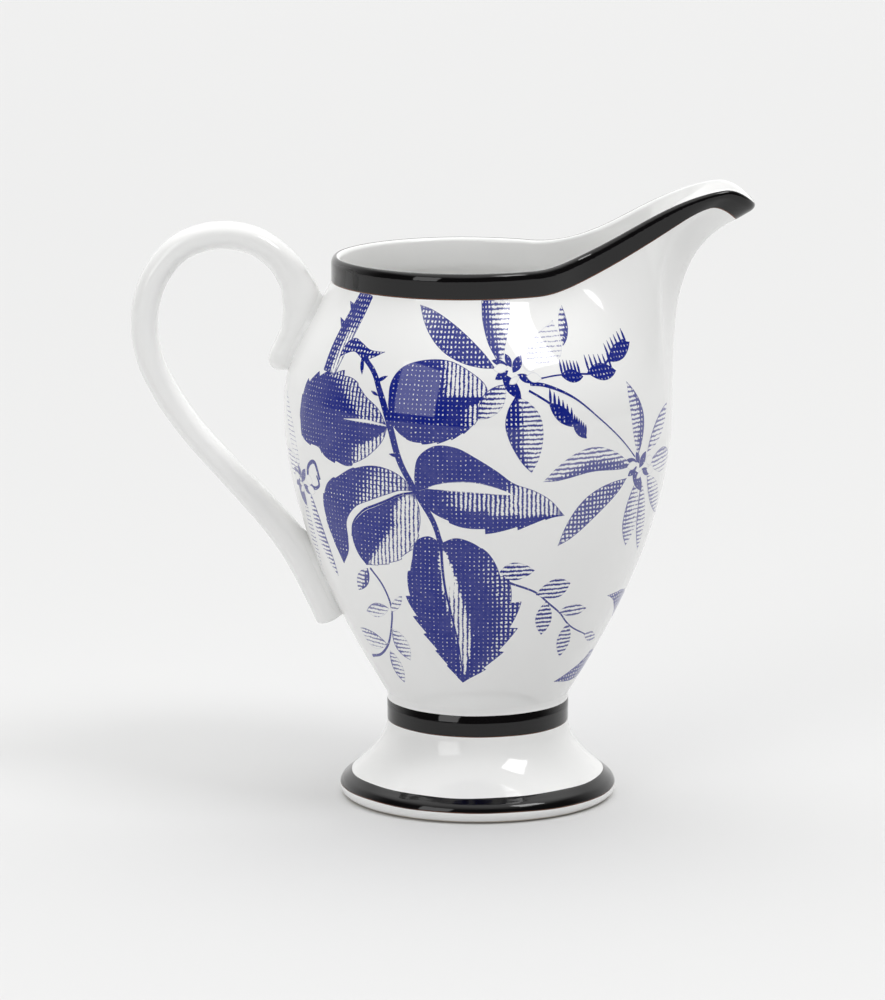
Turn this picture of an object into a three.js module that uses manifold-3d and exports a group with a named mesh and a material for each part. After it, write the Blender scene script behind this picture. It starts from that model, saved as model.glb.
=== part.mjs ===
// Porcelain cream jug: a slip-cast bowl drawn out into a pouring lip, a hollow flared foot and a strap
// handle, luted together with slip and finished with three fired bands of black enamel.
// Millimetres, +Z up. Everything is laid out around the turning axis of the bowl, then the whole group is
// moved along X, so that the origin is the centre of the overall box on the plane that the jug stands on.
import * as THREE from "three";
import { mergeVertices } from "three/addons/utils/BufferGeometryUtils.js";
import Module from "manifold-3d";

const wasm = await Module();
wasm.setup();

// Overall reach along X, measured from the turning axis.
const HANDLE_REACH = 73.1;
const LIP_REACH = 58.1;

// Foot: a hollow cone that stands on a narrow ring.
const FOOT_RING_RADIUS = 27.5;
const FOOT_EDGE_CONTROLS = [[29.9, 0.6], [29.8, 2.6]];
const FLARE_START = [28.6, 4];
const FLARE_CONTROLS = [[24.6, 7.1], [19.5, 11.5]];
const STEM_RADIUS = 19.3;
const STEM_START = 16.2;
const STEM_TOP = 22;
const STEM_WALL = 4.2;
const LUTE_INSET = 0.1;
const HOLLOW_PROFILE = [[15.1, 22], [15.1, 16.2], [16.5, 11], [19.7, 6.5], [24.1, 2.4], [24.6, 0]];

// Bowl: a turned belly whose upper half is drawn in to a round mouth and out to the lip.
const NECK_RADIUS = 19.4;
const BELLY_RADIUS = 41;
const BELLY_HEIGHT = 84;
const BOWL_WALL = 2.9;
const RIM_WALL = 2.1;
const THINNING_FROM = 0.6;
const FLOOR_THICKNESS = 3.3;
const NECK_CONTROL = [27.3, 35.5];
const BELLY_CONTROL_HEIGHT = 58.5;
const INNER_LEVELS = [0.85, 0.15];
const FLOOR_RADIUS = 14;
const FLOOR_CONTROL = [18.5, 0.5];

// Mouth, seen from above: a circle of MOUTH_RADIUS, pinched beside a lip of straight sides.
const MOUTH_RADIUS = 30.9;
const THROAT_PINCH = 5.1;
const LIP_LENGTH = 57.4;
const LIP_HALF_WIDTH = 14.2;
const RIM_HEIGHT = 115.6;
const LIP_RISE = 15.6;
const COLLAR_HEIGHT = 5.3;
const LIP_COLLAR_HEIGHT = 5.1;
const PINCH_FROM = THREE.MathUtils.degToRad(25);
const PINCH_TO = THREE.MathUtils.degToRad(118);
const LIP_POWER = 3;
const CORNER_POWER = 6;
const LIP_FADE = 0.2;
const RISE_FROM = 12;
const RISE_TO = 53;
const DIP_FROM = 51;
const DIP = 0.09;

// Directions, as radius and height, and lengths that change from the round mouth to the end of the lip.
const COLLAR_LEAN = { mouth: [0, 1], lip: [0.86, 0.51] };
const SHOULDER_LEAN = { mouth: [-0.48, 0.88], lip: [0.9, 0.44] };
const SHOULDER_REACH = { mouth: 6, lip: 14.5 };
const BELLY_REACH = { mouth: 12, lip: 20 };

// Handle: a strap of oval section, in the plane Y = 0.
const SECTION_POWER = 2.5;
const ROUNDED_END = 0.5;
const BLUNT_END = 0.2;

// Slip joints and enamel bands.
const LUTE = 0.3;
const GAP = 0.05;
const SMALLEST_PAD = 1;
const ENAMEL = 0.35;
const FOOT_BAND_LOW = 2.5;
const FOOT_BAND_TOP = 5.4;
const STEM_BAND_TOP = 21;

// Half round of the rim: the height of its crown, and of the point halfway round to it.
const CROWN = RIM_WALL / 2;
const CHAMFER = Math.SQRT1_2 * CROWN;

// Height of the bowl's underside, on the slip that lies on the foot.
const UNDERSIDE = STEM_TOP + 2 * GAP + LUTE;

// Facets.
const AROUND = 72;
const AROUND_LIP_CROWDING = 0.45;
const HANDLE_STEPS = 44;
const HANDLE_SIDES = 12;
const FIRST_STEP = 0.008;
const END_STEP = 0.025;

// Points of a profile closer together than this are one point.
const NEARBY = 0.01;

const porcelain = new THREE.MeshStandardMaterial({ color: 0xf4f3f0, roughness: 0.12, metalness: 0 });
const slip = new THREE.MeshStandardMaterial({ color: 0xeceae5, roughness: 0.3, metalness: 0 });
const enamel = new THREE.MeshStandardMaterial({ color: 0x0c0b0d, roughness: 0.08, metalness: 0 });

const mix = THREE.MathUtils.lerp;
const smooth = THREE.MathUtils.smoothstep;

// --- meshes -------------------------------------------------------------------------------------------

// Joins rings of points into one closed surface. With loop, the last ring joins the first one; without
// it, the first and the last ring are closed by a fan to their middle point.
function skin(rings, loop) {
  const count = rings[0].length;
  const points = rings.flat();
  const index = [];
  const spans = loop ? rings.length : rings.length - 1;
  for (let i = 0; i < spans; i += 1) {
    const low = i * count;
    const high = ((i + 1) % rings.length) * count;
    for (let j = 0; j < count; j += 1) {
      const next = (j + 1) % count;
      index.push(low + j, low + next, high + next, low + j, high + next, high + j);
    }
  }
  if (!loop) {
    addCap(points, index, 0, count, true);
    addCap(points, index, (rings.length - 1) * count, count, false);
  }
  const geometry = new THREE.BufferGeometry().setFromPoints(points);
  geometry.setIndex(signedVolume(points, index) < 0 ? index.reverse() : index);
  return geometry;
}

function addCap(points, index, start, count, backwards) {
  const middle = new THREE.Vector3();
  for (let j = 0; j < count; j += 1) middle.addScaledVector(points[start + j], 1 / count);
  const centre = points.push(middle) - 1;
  for (let j = 0; j < count; j += 1) {
    const a = start + j;
    const b = start + ((j + 1) % count);
    if (backwards) index.push(centre, b, a);
    else index.push(centre, a, b);
  }
}

function signedVolume(points, index) {
  let sum = 0;
  for (let i = 0; i < index.length; i += 3) {
    const [a, b, c] = [points[index[i]], points[index[i + 1]], points[index[i + 2]]];
    sum += a.dot(new THREE.Vector3().crossVectors(b, c));
  }
  return sum;
}

// A ring of points around the axis for each point of a profile of [radius, height] pairs.
function turned(profile) {
  return profile.map(([radius, height]) =>
    Array.from({ length: AROUND }, (_, j) => onCircle(radius, height, (2 * Math.PI * j) / AROUND)));
}

function onCircle(radius, height, angle) {
  return new THREE.Vector3(radius * Math.cos(angle), radius * Math.sin(angle), height);
}

function bezier(t, p0, p1, p2, p3) {
  const curve = new THREE.CubicBezierCurve(
    new THREE.Vector2(...p0), new THREE.Vector2(...p1), new THREE.Vector2(...p2), new THREE.Vector2(...p3));
  return curve.getPoint(t).toArray();
}

function steps(count, from = 0, to = 1) {
  return Array.from({ length: count + 1 }, (_, i) => mix(from, to, i / count));
}

// --- booleans -----------------------------------------------------------------------------------------

function toSolid(geometry) {
  const bare = geometry.clone();
  bare.deleteAttribute("normal");
  bare.deleteAttribute("uv");
  const merged = mergeVertices(bare, 1e-4);
  return new wasm.Manifold(new wasm.Mesh({
    numProp: 3,
    vertProperties: new Float32Array(merged.attributes.position.array),
    triVerts: new Uint32Array(merged.index.array),
  }));
}

function toGeometry(solid) {
  const mesh = solid.getMesh();
  const geometry = new THREE.BufferGeometry();
  geometry.setAttribute("position", new THREE.BufferAttribute(mesh.vertProperties, 3));
  geometry.setIndex(new THREE.BufferAttribute(mesh.triVerts, 1));
  return geometry;
}

// --- bowl surface -------------------------------------------------------------------------------------

// Angles around the bowl from the lip at 0, closer together at the lip and behind the handle.
const bowlAngles = Array.from({ length: AROUND }, (_, j) => {
  const turn = (2 * Math.PI * j) / AROUND;
  return turn - (AROUND_LIP_CROWDING / 2) * Math.sin(2 * turn);
});

// How far the rim lies from the axis at an angle: the larger of the pinched circle and the lip, which is
// a blunt oval that fades out beside the mouth, with the corner between them rounded off.
function rimRadius(angle) {
  const fromLip = Math.acos(Math.cos(angle));
  const mouth = MOUTH_RADIUS - THROAT_PINCH * (1 - smooth(fromLip, PINCH_FROM, PINCH_TO));
  const across = Math.abs(Math.sin(angle)) / LIP_HALF_WIDTH;
  const along = Math.max(Math.cos(angle), 0) / LIP_LENGTH;
  const oval = (across ** LIP_POWER + along ** LIP_POWER) ** (-1 / LIP_POWER);
  const lip = oval * smooth(Math.cos(angle), 0, LIP_FADE);
  return (mouth ** CORNER_POWER + lip ** CORNER_POWER) ** (1 / CORNER_POWER);
}

// The rim is level around the mouth, climbs along the lip and dips a little at its end.
function rimHeight(x) {
  const dip = DIP * Math.max(x - DIP_FROM, 0) ** 2;
  return RIM_HEIGHT + LIP_RISE * smooth(x, RISE_FROM, RISE_TO) - dip;
}

// How much of the lip there is at an angle: 1 at its end, 0 around the round mouth.
function lipShare(angle) {
  return smooth(rimRadius(angle), MOUTH_RADIUS - THROAT_PINCH, LIP_LENGTH);
}

// The unit direction between the mouth's and the lip's, by the share of the lip.
function lean({ mouth, lip }, share) {
  const direction = new THREE.Vector2(...mouth).lerp(new THREE.Vector2(...lip), share);
  return direction.normalize().toArray();
}

// Upper half of the bowl in the half-plane at an angle: a cubic curve from the belly to the foot of the
// collar, then the straight collar up to the outer edge of the rim.
function upperCurve(angle) {
  const share = lipShare(angle);
  const radius = rimRadius(angle);
  const [tr, tz] = lean(COLLAR_LEAN, share ** 2);
  const edge = [radius, rimHeight(radius * Math.cos(angle)) - (RIM_WALL / 2) * (1 + tr)];
  const collar = mix(COLLAR_HEIGHT, LIP_COLLAR_HEIGHT, share) - RIM_WALL / 2;
  const collarFoot = [edge[0] - collar * tr, edge[1] - collar * tz];
  const [sr, sz] = lean(SHOULDER_LEAN, share);
  const reach = mix(SHOULDER_REACH.mouth, SHOULDER_REACH.lip, share);
  const shoulder = [collarFoot[0] - reach * sr, collarFoot[1] - reach * sz];
  const rise = [BELLY_RADIUS, BELLY_HEIGHT + mix(BELLY_REACH.mouth, BELLY_REACH.lip, share)];
  return { rise, shoulder, collarFoot, edge };
}

// A point of the bowl's outer surface: level runs 0 to 1 from the neck to the belly, 1 to 2 from there
// to the foot of the collar, and 2 to 3 up the collar.
function bowlPoint(angle, level) {
  if (level <= 1) {
    const neck = [NECK_RADIUS, UNDERSIDE];
    const [r, z] = bezier(level, neck, NECK_CONTROL, [BELLY_RADIUS, BELLY_CONTROL_HEIGHT],
      [BELLY_RADIUS, BELLY_HEIGHT]);
    return onCircle(r, z, angle);
  }
  const { rise, shoulder, collarFoot, edge } = upperCurve(angle);
  if (level <= 2) {
    const [r, z] = bezier(level - 1, [BELLY_RADIUS, BELLY_HEIGHT], rise, shoulder, collarFoot);
    return onCircle(r, z, angle);
  }
  return onCircle(mix(collarFoot[0], edge[0], level - 2), mix(collarFoot[1], edge[1], level - 2), angle);
}

// The unit vectors at a point of the bowl: along the meridian upwards, and outwards from the surface.
function bowlFrame(angle, level) {
  const step = 1e-3;
  const piece = Math.min(Math.floor(level), 2);
  const low = Math.max(level - step, piece);
  const up = bowlPoint(angle, Math.min(low + 2 * step, 3)).sub(bowlPoint(angle, low)).normalize();
  const round = bowlPoint(angle + step, level).sub(bowlPoint(angle - step, level));
  const out = new THREE.Vector3().crossVectors(round, up).normalize();
  return { up, out };
}

// The ring of points at a level, moved inwards from the outer surface and upwards along it.
function bowlRing(level, inwards = 0, upwards = 0) {
  return bowlAngles.map((angle) => {
    const { up, out } = bowlFrame(angle, level);
    return bowlPoint(angle, level).addScaledVector(out, -inwards).addScaledVector(up, upwards);
  });
}

function levelRing(radius, height) {
  return bowlAngles.map((angle) => onCircle(radius, height, angle));
}

const wallAt = (level) => mix(BOWL_WALL, RIM_WALL, smooth(level, THINNING_FROM, 2));

// --- pieces -------------------------------------------------------------------------------------------

// The bowl, from the middle of its underside out, up to the rim, and down inside to the floor. Its
// collar and the outer half of its rim are cut back by the thickness of the enamel.
function makeBowl() {
  const floor = UNDERSIDE + FLOOR_THICKNESS;
  const rebate = ENAMEL + GAP;
  const outside = [...steps(9), ...steps(7, 1, 2).slice(1)].map((level) => bowlRing(level));
  const rim = [
    bowlRing(2, rebate),
    bowlRing(3, rebate),
    bowlRing(3, CROWN, CROWN - rebate),
    bowlRing(3, CROWN, CROWN),
    bowlRing(3, CROWN + CHAMFER, CHAMFER),
    bowlRing(3, RIM_WALL),
  ];
  const levels = [...steps(6, 2, 1), ...steps(6, ...INNER_LEVELS)];
  const inside = levels.map((level) => bowlRing(level, wallAt(level)));
  const well = inside.at(-1)[0];
  const wellRadius = Math.hypot(well.x, well.y);
  const dish = steps(4, 1, 0).slice(1, -1).map((t) =>
    levelRing(...bezier(t, [0, floor], [FLOOR_RADIUS, floor], [FLOOR_CONTROL[0], floor + FLOOR_CONTROL[1]],
      [wellRadius, well.z])));
  return skin([levelRing(NECK_RADIUS / 2, UNDERSIDE), ...outside, ...rim, ...inside, ...dish], false);
}

// The enamel over the collar and the outer half of the rim: an upright skin that ends at the crown.
function makeRimBand() {
  const lowest = 2 + GAP / COLLAR_HEIGHT;
  const end = CROWN - GAP;
  return skin([
    bowlRing(lowest, ENAMEL),
    bowlRing(3, ENAMEL),
    bowlRing(3, end, end - ENAMEL),
    bowlRing(3, end, CROWN - GAP / 2),
    bowlRing(3, CROWN - CHAMFER, CHAMFER),
    bowlRing(3),
    bowlRing(lowest),
  ], true);
}

// Outer side of the foot, from its ring to the top of its stem: a small round edge, then a hollow flare.
function footSide() {
  const ring = [FOOT_RING_RADIUS, 0];
  const stem = [STEM_RADIUS, STEM_START];
  const edge = steps(3).map((t) => bezier(t, ring, ...FOOT_EDGE_CONTROLS, FLARE_START));
  const cone = steps(7).map((t) => bezier(t, FLARE_START, ...FLARE_CONTROLS, stem));
  return [...edge, ...cone.slice(1), [STEM_RADIUS, STEM_TOP]];
}

// The outward shift of a profile, by the normal of the chord through each point's neighbours.
function offsetProfile(profile, distance) {
  return profile.map(([r, z], i) => {
    const before = profile[Math.max(i - 1, 0)];
    const after = profile[Math.min(i + 1, profile.length - 1)];
    const [dr, dz] = [after[0] - before[0], after[1] - before[1]];
    const scale = distance / Math.hypot(dr, dz);
    return [r + scale * dz, z - scale * dr];
  });
}

// The points of the foot's side between two heights, ends included.
function sideBetween(low, high) {
  const side = footSide();
  const at = (height) => {
    const i = side.findIndex(([, z]) => z >= height);
    const [a, b] = [side[i - 1], side[i]];
    return [mix(a[0], b[0], (height - a[1]) / (b[1] - a[1])), height];
  };
  return [at(low), ...pointsWithin(low, high), at(high)];
}

function pointsWithin(low, high) {
  return footSide().filter(([, z]) => z > low + NEARBY && z < high - NEARBY);
}

// The foot, hollow from below, with two shallow seats for the enamel.
function makeFoot() {
  const rebate = ENAMEL + GAP;
  const banded = sideBetween(FOOT_BAND_LOW, FOOT_BAND_TOP);
  const outside = [
    [FOOT_RING_RADIUS, 0],
    ...pointsWithin(0, FOOT_BAND_LOW),
    banded[0],
    ...offsetProfile(banded, -rebate),
    banded.at(-1),
    ...pointsWithin(FOOT_BAND_TOP, STEM_START),
    [STEM_RADIUS, STEM_START - GAP],
    [STEM_RADIUS - rebate, STEM_START - GAP],
    [STEM_RADIUS - rebate, STEM_BAND_TOP + GAP],
    [STEM_RADIUS, STEM_BAND_TOP + GAP],
    [STEM_RADIUS, STEM_TOP],
  ];
  return skin(turned([...outside, ...HOLLOW_PROFILE]), true);
}

function makeFootBand() {
  const outer = sideBetween(FOOT_BAND_LOW + GAP, FOOT_BAND_TOP - GAP);
  return skin(turned([...outer, ...offsetProfile(outer, -ENAMEL).reverse()]), true);
}

function makeStemBand() {
  const inner = STEM_RADIUS - ENAMEL;
  return skin(turned([
    [STEM_RADIUS, STEM_START],
    [STEM_RADIUS, STEM_BAND_TOP],
    [inner, STEM_BAND_TOP],
    [inner, STEM_START],
  ]), true);
}

// The slip that joins the foot to the underside of the bowl.
function makeFootLute() {
  const low = STEM_TOP + GAP;
  const inner = STEM_RADIUS - STEM_WALL;
  const outer = STEM_RADIUS - LUTE_INSET;
  return skin(turned([
    [outer, low],
    [outer, low + LUTE],
    [inner, low + LUTE],
    [inner, low],
  ]), true);
}

// Stations along the middle of the strap, from the spur of its upper terminal, over the loop, to the
// blunt end of the lower one: [x, z, half thickness, half width].
const handleStations = [
  [-43, 91.6, 2.2, 3.4],
  [-40.9, 95, 2.9, 4.4],
  [-38.7, 98.8, 3.3, 5],
  [-37.4, 102.6, 3.8, 5.2],
  [-37.2, 106.6, 4.2, 4.9],
  [-38.8, 111, 3.5, 4.5],
  [-41.9, 115.1, 3.1, 4.3],
  [-46.9, 118.6, 3, 4.2],
  [-54.4, 119.8, 2.95, 4.2],
  [-62.2, 117.4, 3, 4.2],
  [-67.8, 111, 3, 4.2],
  [-70.1, 102.4, 3, 4.2],
  [-69.2, 94.4, 2.95, 4.2],
  [-66, 87, 2.85, 4.2],
  [-60.7, 79, 2.75, 4.2],
  [-53.6, 70.8, 2.8, 4.3],
  [-45.6, 62.2, 3.1, 4.6],
  [-39.3, 54.4, 3.4, 5],
  [-35, 46.4, 3.3, 5.2],
  [-32, 39.6, 3.1, 4.9],
  [-31.1, 37.4, 2.9, 4.6],
];

const handlePath = new THREE.CatmullRomCurve3(
  handleStations.map(([x, z]) => new THREE.Vector3(x, 0, z)), false, "centripetal");

// Thickness and width between stations, with both ends of the strap rounded off.
function handleSize(t) {
  const place = t * (handleStations.length - 1);
  const i = Math.min(Math.floor(place), handleStations.length - 2);
  const share = smooth(place - i, 0, 1);
  const [, , thick0, wide0] = handleStations[i];
  const [, , thick1, wide1] = handleStations[i + 1];
  const end = Math.min(place, handleStations.length - 1 - place) / ROUNDED_END;
  const round = end < 1 ? Math.max(Math.sqrt(1 - (1 - end) ** 2), BLUNT_END) : 1;
  return [mix(thick0, thick1, share) * round, mix(wide0, wide1, share) * round];
}

// One section of the strap: an oval of SECTION_POWER, across the path.
function handleRing(t) {
  const middle = handlePath.getPoint(t);
  const along = handlePath.getTangent(t);
  const across = new THREE.Vector3(along.z, 0, -along.x);
  const [thick, wide] = handleSize(t);
  const corner = (value) => Math.sign(value) * Math.abs(value) ** (2 / SECTION_POWER);
  return Array.from({ length: HANDLE_SIDES }, (_, j) => {
    const angle = (2 * Math.PI * (j + 0.5)) / HANDLE_SIDES;
    const point = middle.clone().addScaledVector(across, thick * corner(Math.cos(angle)));
    point.y += wide * corner(Math.sin(angle));
    return point;
  });
}

function makeStrap() {
  const inner = steps(HANDLE_STEPS, END_STEP, 1 - END_STEP);
  return skin([0, FIRST_STEP, ...inner, 1 - FIRST_STEP, 1].map(handleRing), false);
}

// The bowl without its hollow, grown outwards, to cut the handle's terminals to its surface.
function grownBowl(growth) {
  const outside = [...steps(9), ...steps(7, 1, 2).slice(1), 3].map((level) => bowlRing(level, -growth));
  return toSolid(skin([levelRing(NECK_RADIUS / 2, UNDERSIDE), ...outside], false));
}

// The handle ends where the slip begins. Each pad of slip fills the space between it and the bowl.
function makeHandleParts() {
  const strap = toSolid(makeStrap());
  const handle = strap.subtract(grownBowl(LUTE + 2 * GAP));
  const slipLayer = strap.intersect(grownBowl(LUTE + GAP)).subtract(grownBowl(GAP));
  const pads = slipLayer.decompose().filter((pad) => pad.volume() > SMALLEST_PAD);
  const middle = (pad) => (pad.boundingBox().min[2] + pad.boundingBox().max[2]) / 2;
  pads.sort((a, b) => middle(b) - middle(a));
  const loop = handle.decompose().sort((a, b) => b.volume() - a.volume())[0];
  return { handle: loop, upper: pads[0], lower: pads[1] };
}

// --- assembly -----------------------------------------------------------------------------------------

const jug = new THREE.Group();
jug.position.x = (HANDLE_REACH - LIP_REACH) / 2;

function add(name, geometry, material) {
  geometry.computeVertexNormals();
  const mesh = new THREE.Mesh(geometry, material);
  mesh.name = name;
  jug.add(mesh);
}

const handleParts = makeHandleParts();
add("bowl", makeBowl(), porcelain);
add("foot", makeFoot(), porcelain);
add("handle", toGeometry(handleParts.handle), porcelain);
add("foot_lute", makeFootLute(), slip);
add("handle_upper_lute", toGeometry(handleParts.upper), slip);
add("handle_lower_lute", toGeometry(handleParts.lower), slip);
add("rim_band", makeRimBand(), enamel);
add("stem_band", makeStemBand(), enamel);
add("foot_band", makeFootBand(), enamel);

export default jug;
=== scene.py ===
"""Finished surfaces of a porcelain cream jug: glazed bowl, foot and strap handle, three black enamel bands
and an engraved cobalt print of leaves and flowers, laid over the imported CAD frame."""

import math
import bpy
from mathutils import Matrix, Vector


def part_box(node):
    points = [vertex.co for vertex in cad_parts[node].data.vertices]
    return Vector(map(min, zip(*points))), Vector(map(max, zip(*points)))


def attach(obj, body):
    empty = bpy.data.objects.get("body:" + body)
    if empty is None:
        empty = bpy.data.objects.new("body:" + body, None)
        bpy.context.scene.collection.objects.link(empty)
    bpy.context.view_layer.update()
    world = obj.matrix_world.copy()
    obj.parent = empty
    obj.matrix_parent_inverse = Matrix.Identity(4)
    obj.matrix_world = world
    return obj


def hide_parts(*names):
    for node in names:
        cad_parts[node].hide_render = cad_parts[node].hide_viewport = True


bl_info = {
    "name": "Cream Jug",
    "version": (1, 0, 0),
    "blender": (4, 5, 0),
    "location": "3D View > Sidebar > Cream Jug",
    "description": "Glazed porcelain, enamel bands and a cobalt print on a cream jug",
    "category": "Object",
}

import bpy
import numpy as np
from bpy.props import FloatProperty, FloatVectorProperty, PointerProperty
from bpy.types import Operator, Panel, PropertyGroup
from mathutils import Vector

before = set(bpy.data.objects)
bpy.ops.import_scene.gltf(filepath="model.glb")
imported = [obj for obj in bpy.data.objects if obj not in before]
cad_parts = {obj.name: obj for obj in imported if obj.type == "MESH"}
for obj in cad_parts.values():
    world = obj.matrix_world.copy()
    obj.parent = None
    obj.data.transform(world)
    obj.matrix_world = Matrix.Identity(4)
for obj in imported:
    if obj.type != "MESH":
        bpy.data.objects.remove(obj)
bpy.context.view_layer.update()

MM = 0.001
stem_low, stem_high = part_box("stem_band")
foot_low, foot_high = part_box("foot_band")
AXIS_X = (stem_low[0] + stem_high[0]) / 2  # the bowl's turning axis, in metres
BODY = "root"

# All below in millimetres, but for the numbers of points.
INSET = 0.06  # how far the smooth surfaces lie inside the faceted CAD ones
STRAP_INSET = 0.13
STANDING = 0.02  # the lowest point
REBATE = 0.4  # depth of the bowl's seat for the rim's enamel
SKIN = 0.012  # how far the enamel's outside lies inside its CAD node
RIM_DROP = 0.65  # height over which the enamel curves on to the rim, below the collar's end
BAND_BACK = 0.35  # how deep a band goes behind the foot's surface
PRINT_BACK = 0.3  # how deep a printed mark goes into the bowl
FIRST_MARK, LAST_MARK, LONE_MARK = 0.048, 0.02, 0.04  # depths of the marks of a group, and of one alone
ROOT_WIDTH = 0.06  # least half width of a blade where its margins would meet
FAR = 9.0  # distance from a midrib past which it isn't counted
AROUND = 240
RELIEF = 0.05 * MM  # the glaze's unevenness, in metres


# --- settings -----------------------------------------------------------------------------------------


def length(name, description, millimetres):
    """A length property whose default is given in millimetres."""
    return FloatProperty(name=name, description=description, default=millimetres * MM, unit="LENGTH",
                         subtype="DISTANCE", precision=5)


def colour(name, description, *shade):
    """A linear colour property."""
    return FloatVectorProperty(name=name, description=description, default=shade, subtype="COLOR", size=3,
                               min=0, max=1)


def number(name, description, value, **limits):
    """A plain number property."""
    return FloatProperty(name=name, description=description, default=value, **limits)


class CREAMJUG_PG_sizes(PropertyGroup):
    """Sizes of the jug's outer shape; the CAD model holds the same ones."""

    belly_radius: length("Belly radius", "Widest radius of the bowl", 41)
    belly_height: length("Belly height", "Height of the widest ring", 84)
    neck_radius: length("Neck radius", "Radius of the bowl where it meets the foot", 19.4)
    neck_height: length("Neck height", "Height of the underside of the bowl", 22.4)
    mouth_radius: length("Mouth radius", "Radius of the round back of the mouth", 30.9)
    throat_pinch: length("Throat pinch", "How far the mouth is drawn in beside the lip", 5.1)
    lip_length: length("Lip length", "Reach of the pouring lip from the axis", 57.32)
    lip_half_width: length("Lip half width", "Half width of the pouring lip", 14.2)
    rim_height: length("Rim height", "Height of the level part of the rim", 115.6)
    lip_rise: length("Lip rise", "How much higher the lip is than the rim", 15.35)
    collar_height: length("Collar height", "Height of the black collar at the mouth", 5.3)
    lip_collar_height: length("Lip collar height", "Height of the black collar at the lip", 5.1)
    bowl_wall: length("Bowl wall", "Thickness of the bowl at the belly", 2.9)
    rim_wall: length("Rim wall", "Thickness of the bowl at the rim", 2.1)
    floor_thickness: length("Floor thickness", "Thickness of the bowl's floor", 3.3)
    foot_radius: length("Foot radius", "Largest radius of the foot", 29.4)
    foot_ring_radius: length("Foot ring radius", "Outer radius of the standing ring", 27.5)
    foot_edge_height: length("Foot edge height", "Height of the foot's round edge", 2.6)
    foot_wall: length("Foot wall", "Thickness of the foot's wall", 3)
    stem_radius: length("Stem radius", "Radius of the stem between foot and bowl", 19.3)
    stem_start: length("Stem start", "Height at which the stem becomes upright", 16.2)
    stem_top: length("Stem top", "Height of the top of the foot", 22)


class CREAMJUG_PG_looks(PropertyGroup):
    """Colours and finishes."""

    glaze: colour("Glaze", "Colour of the glazed porcelain", 0.925, 0.926, 0.918)
    bare: colour("Bare porcelain", "Colour of the unglazed ring under the foot", 0.62, 0.56, 0.47)
    enamel: colour("Enamel", "Colour of the fired black bands", 0.0016, 0.0013, 0.0015)
    enamel_edge: colour("Enamel edge", "Colour of the thin line of flux along a band", 0.20, 0.07, 0.03)
    cobalt: colour("Cobalt", "Colour of the dense print", 0.006, 0.016, 0.235)
    cobalt_thin: colour("Thin cobalt", "Colour of the print where it has faded", 0.30, 0.30, 0.50)
    print_pitch: length("Print pitch", "Distance between engraved lines", 0.94)
    line_softness: number("Line softness", "How much the engraved lines bleed", 0.16, min=0.02, max=0.5)
    glaze_roughness: number("Glaze roughness", "Roughness of the glaze", 0.045, subtype="FACTOR",
                            min=0, max=1)
    softbox: number("Softboxes", "Brightness of the softboxes", 2.4, min=0)
    surround: number("Backdrop", "Brightness of the white backdrop", 1.0, min=0)
    room: number("Room", "Brightness of the room in front", 0.07, min=0)
    overhead: number("Overhead", "Brightness of the diffuser above", 1.4, min=0)
    dark_front: number("Room edge", "Where the room gives way to the backdrop", -0.15)
    table_glow: number("Table glow", "Light that the far end of the table gives off", 0.13, min=0)


# --- curves and surfaces, in millimetres around the turning axis --------------------------------------


def smooth(x, low, high):
    """0 below low, 1 above high, and 3t^2 - 2t^3 between them."""
    t = np.clip((x - low) / (high - low), 0, 1)
    return t * t * (3 - 2 * t)


def mix(a, b, t):
    """The straight mean of a and b, weighted by t."""
    return a + (b - a) * t


def bezier(t, p0, p1, p2, p3):
    """Cubic curve: the four points weighted by the Bernstein polynomials of t."""
    s = 1 - t
    return s**3 * p0 + 3 * s * s * t * p1 + 3 * s * t * t * p2 + t**3 * p3


def through(points, t):
    """Centripetal Catmull-Rom curve through points at t from 0 to 1: a cubic between two knots, with
    tangents from their neighbours, which past the ends are mirrored."""
    p = np.asarray(points, float)
    p = np.array([2 * p[0] - p[1], *p, 2 * p[-1] - p[-2]])
    place = np.clip(t, 0, 1) * (len(p) - 3)
    i = np.minimum(place.astype(int), len(p) - 4)
    w = (place - i)[..., None]
    a, b, c, d = (p[i + k] for k in range(4))
    gap = lambda step: np.maximum(np.linalg.norm(step, axis=-1, keepdims=True) ** 0.5, 1e-4)
    before, here, after = gap(b - a), gap(c - b), gap(d - c)
    start = ((b - a) / before - (c - a) / (before + here) + (c - b) / here) * here
    end = ((c - b) / here - (d - b) / (here + after) + (d - c) / after) * here
    return b + w * start + w**2 * (3 * (c - b) - 2 * start - end) + w**3 * (2 * (b - c) + start + end)


def evenly(points, count):
    """count points along the curve through points, spaced by equal arc length."""
    fine = through(points, np.linspace(0, 1, 400))
    run = np.append(0, np.cumsum(np.linalg.norm(np.diff(fine, axis=0), axis=1)))
    share = np.linspace(0, run[-1], count)
    return np.stack([np.interp(share, run, column) for column in fine.T], axis=1)


def on_circle(radius, height, angle):
    """Points at a radius and height, turned by angle from +X."""
    return np.stack(np.broadcast_arrays(radius * np.cos(angle), radius * np.sin(angle), height), axis=-1)


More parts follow.
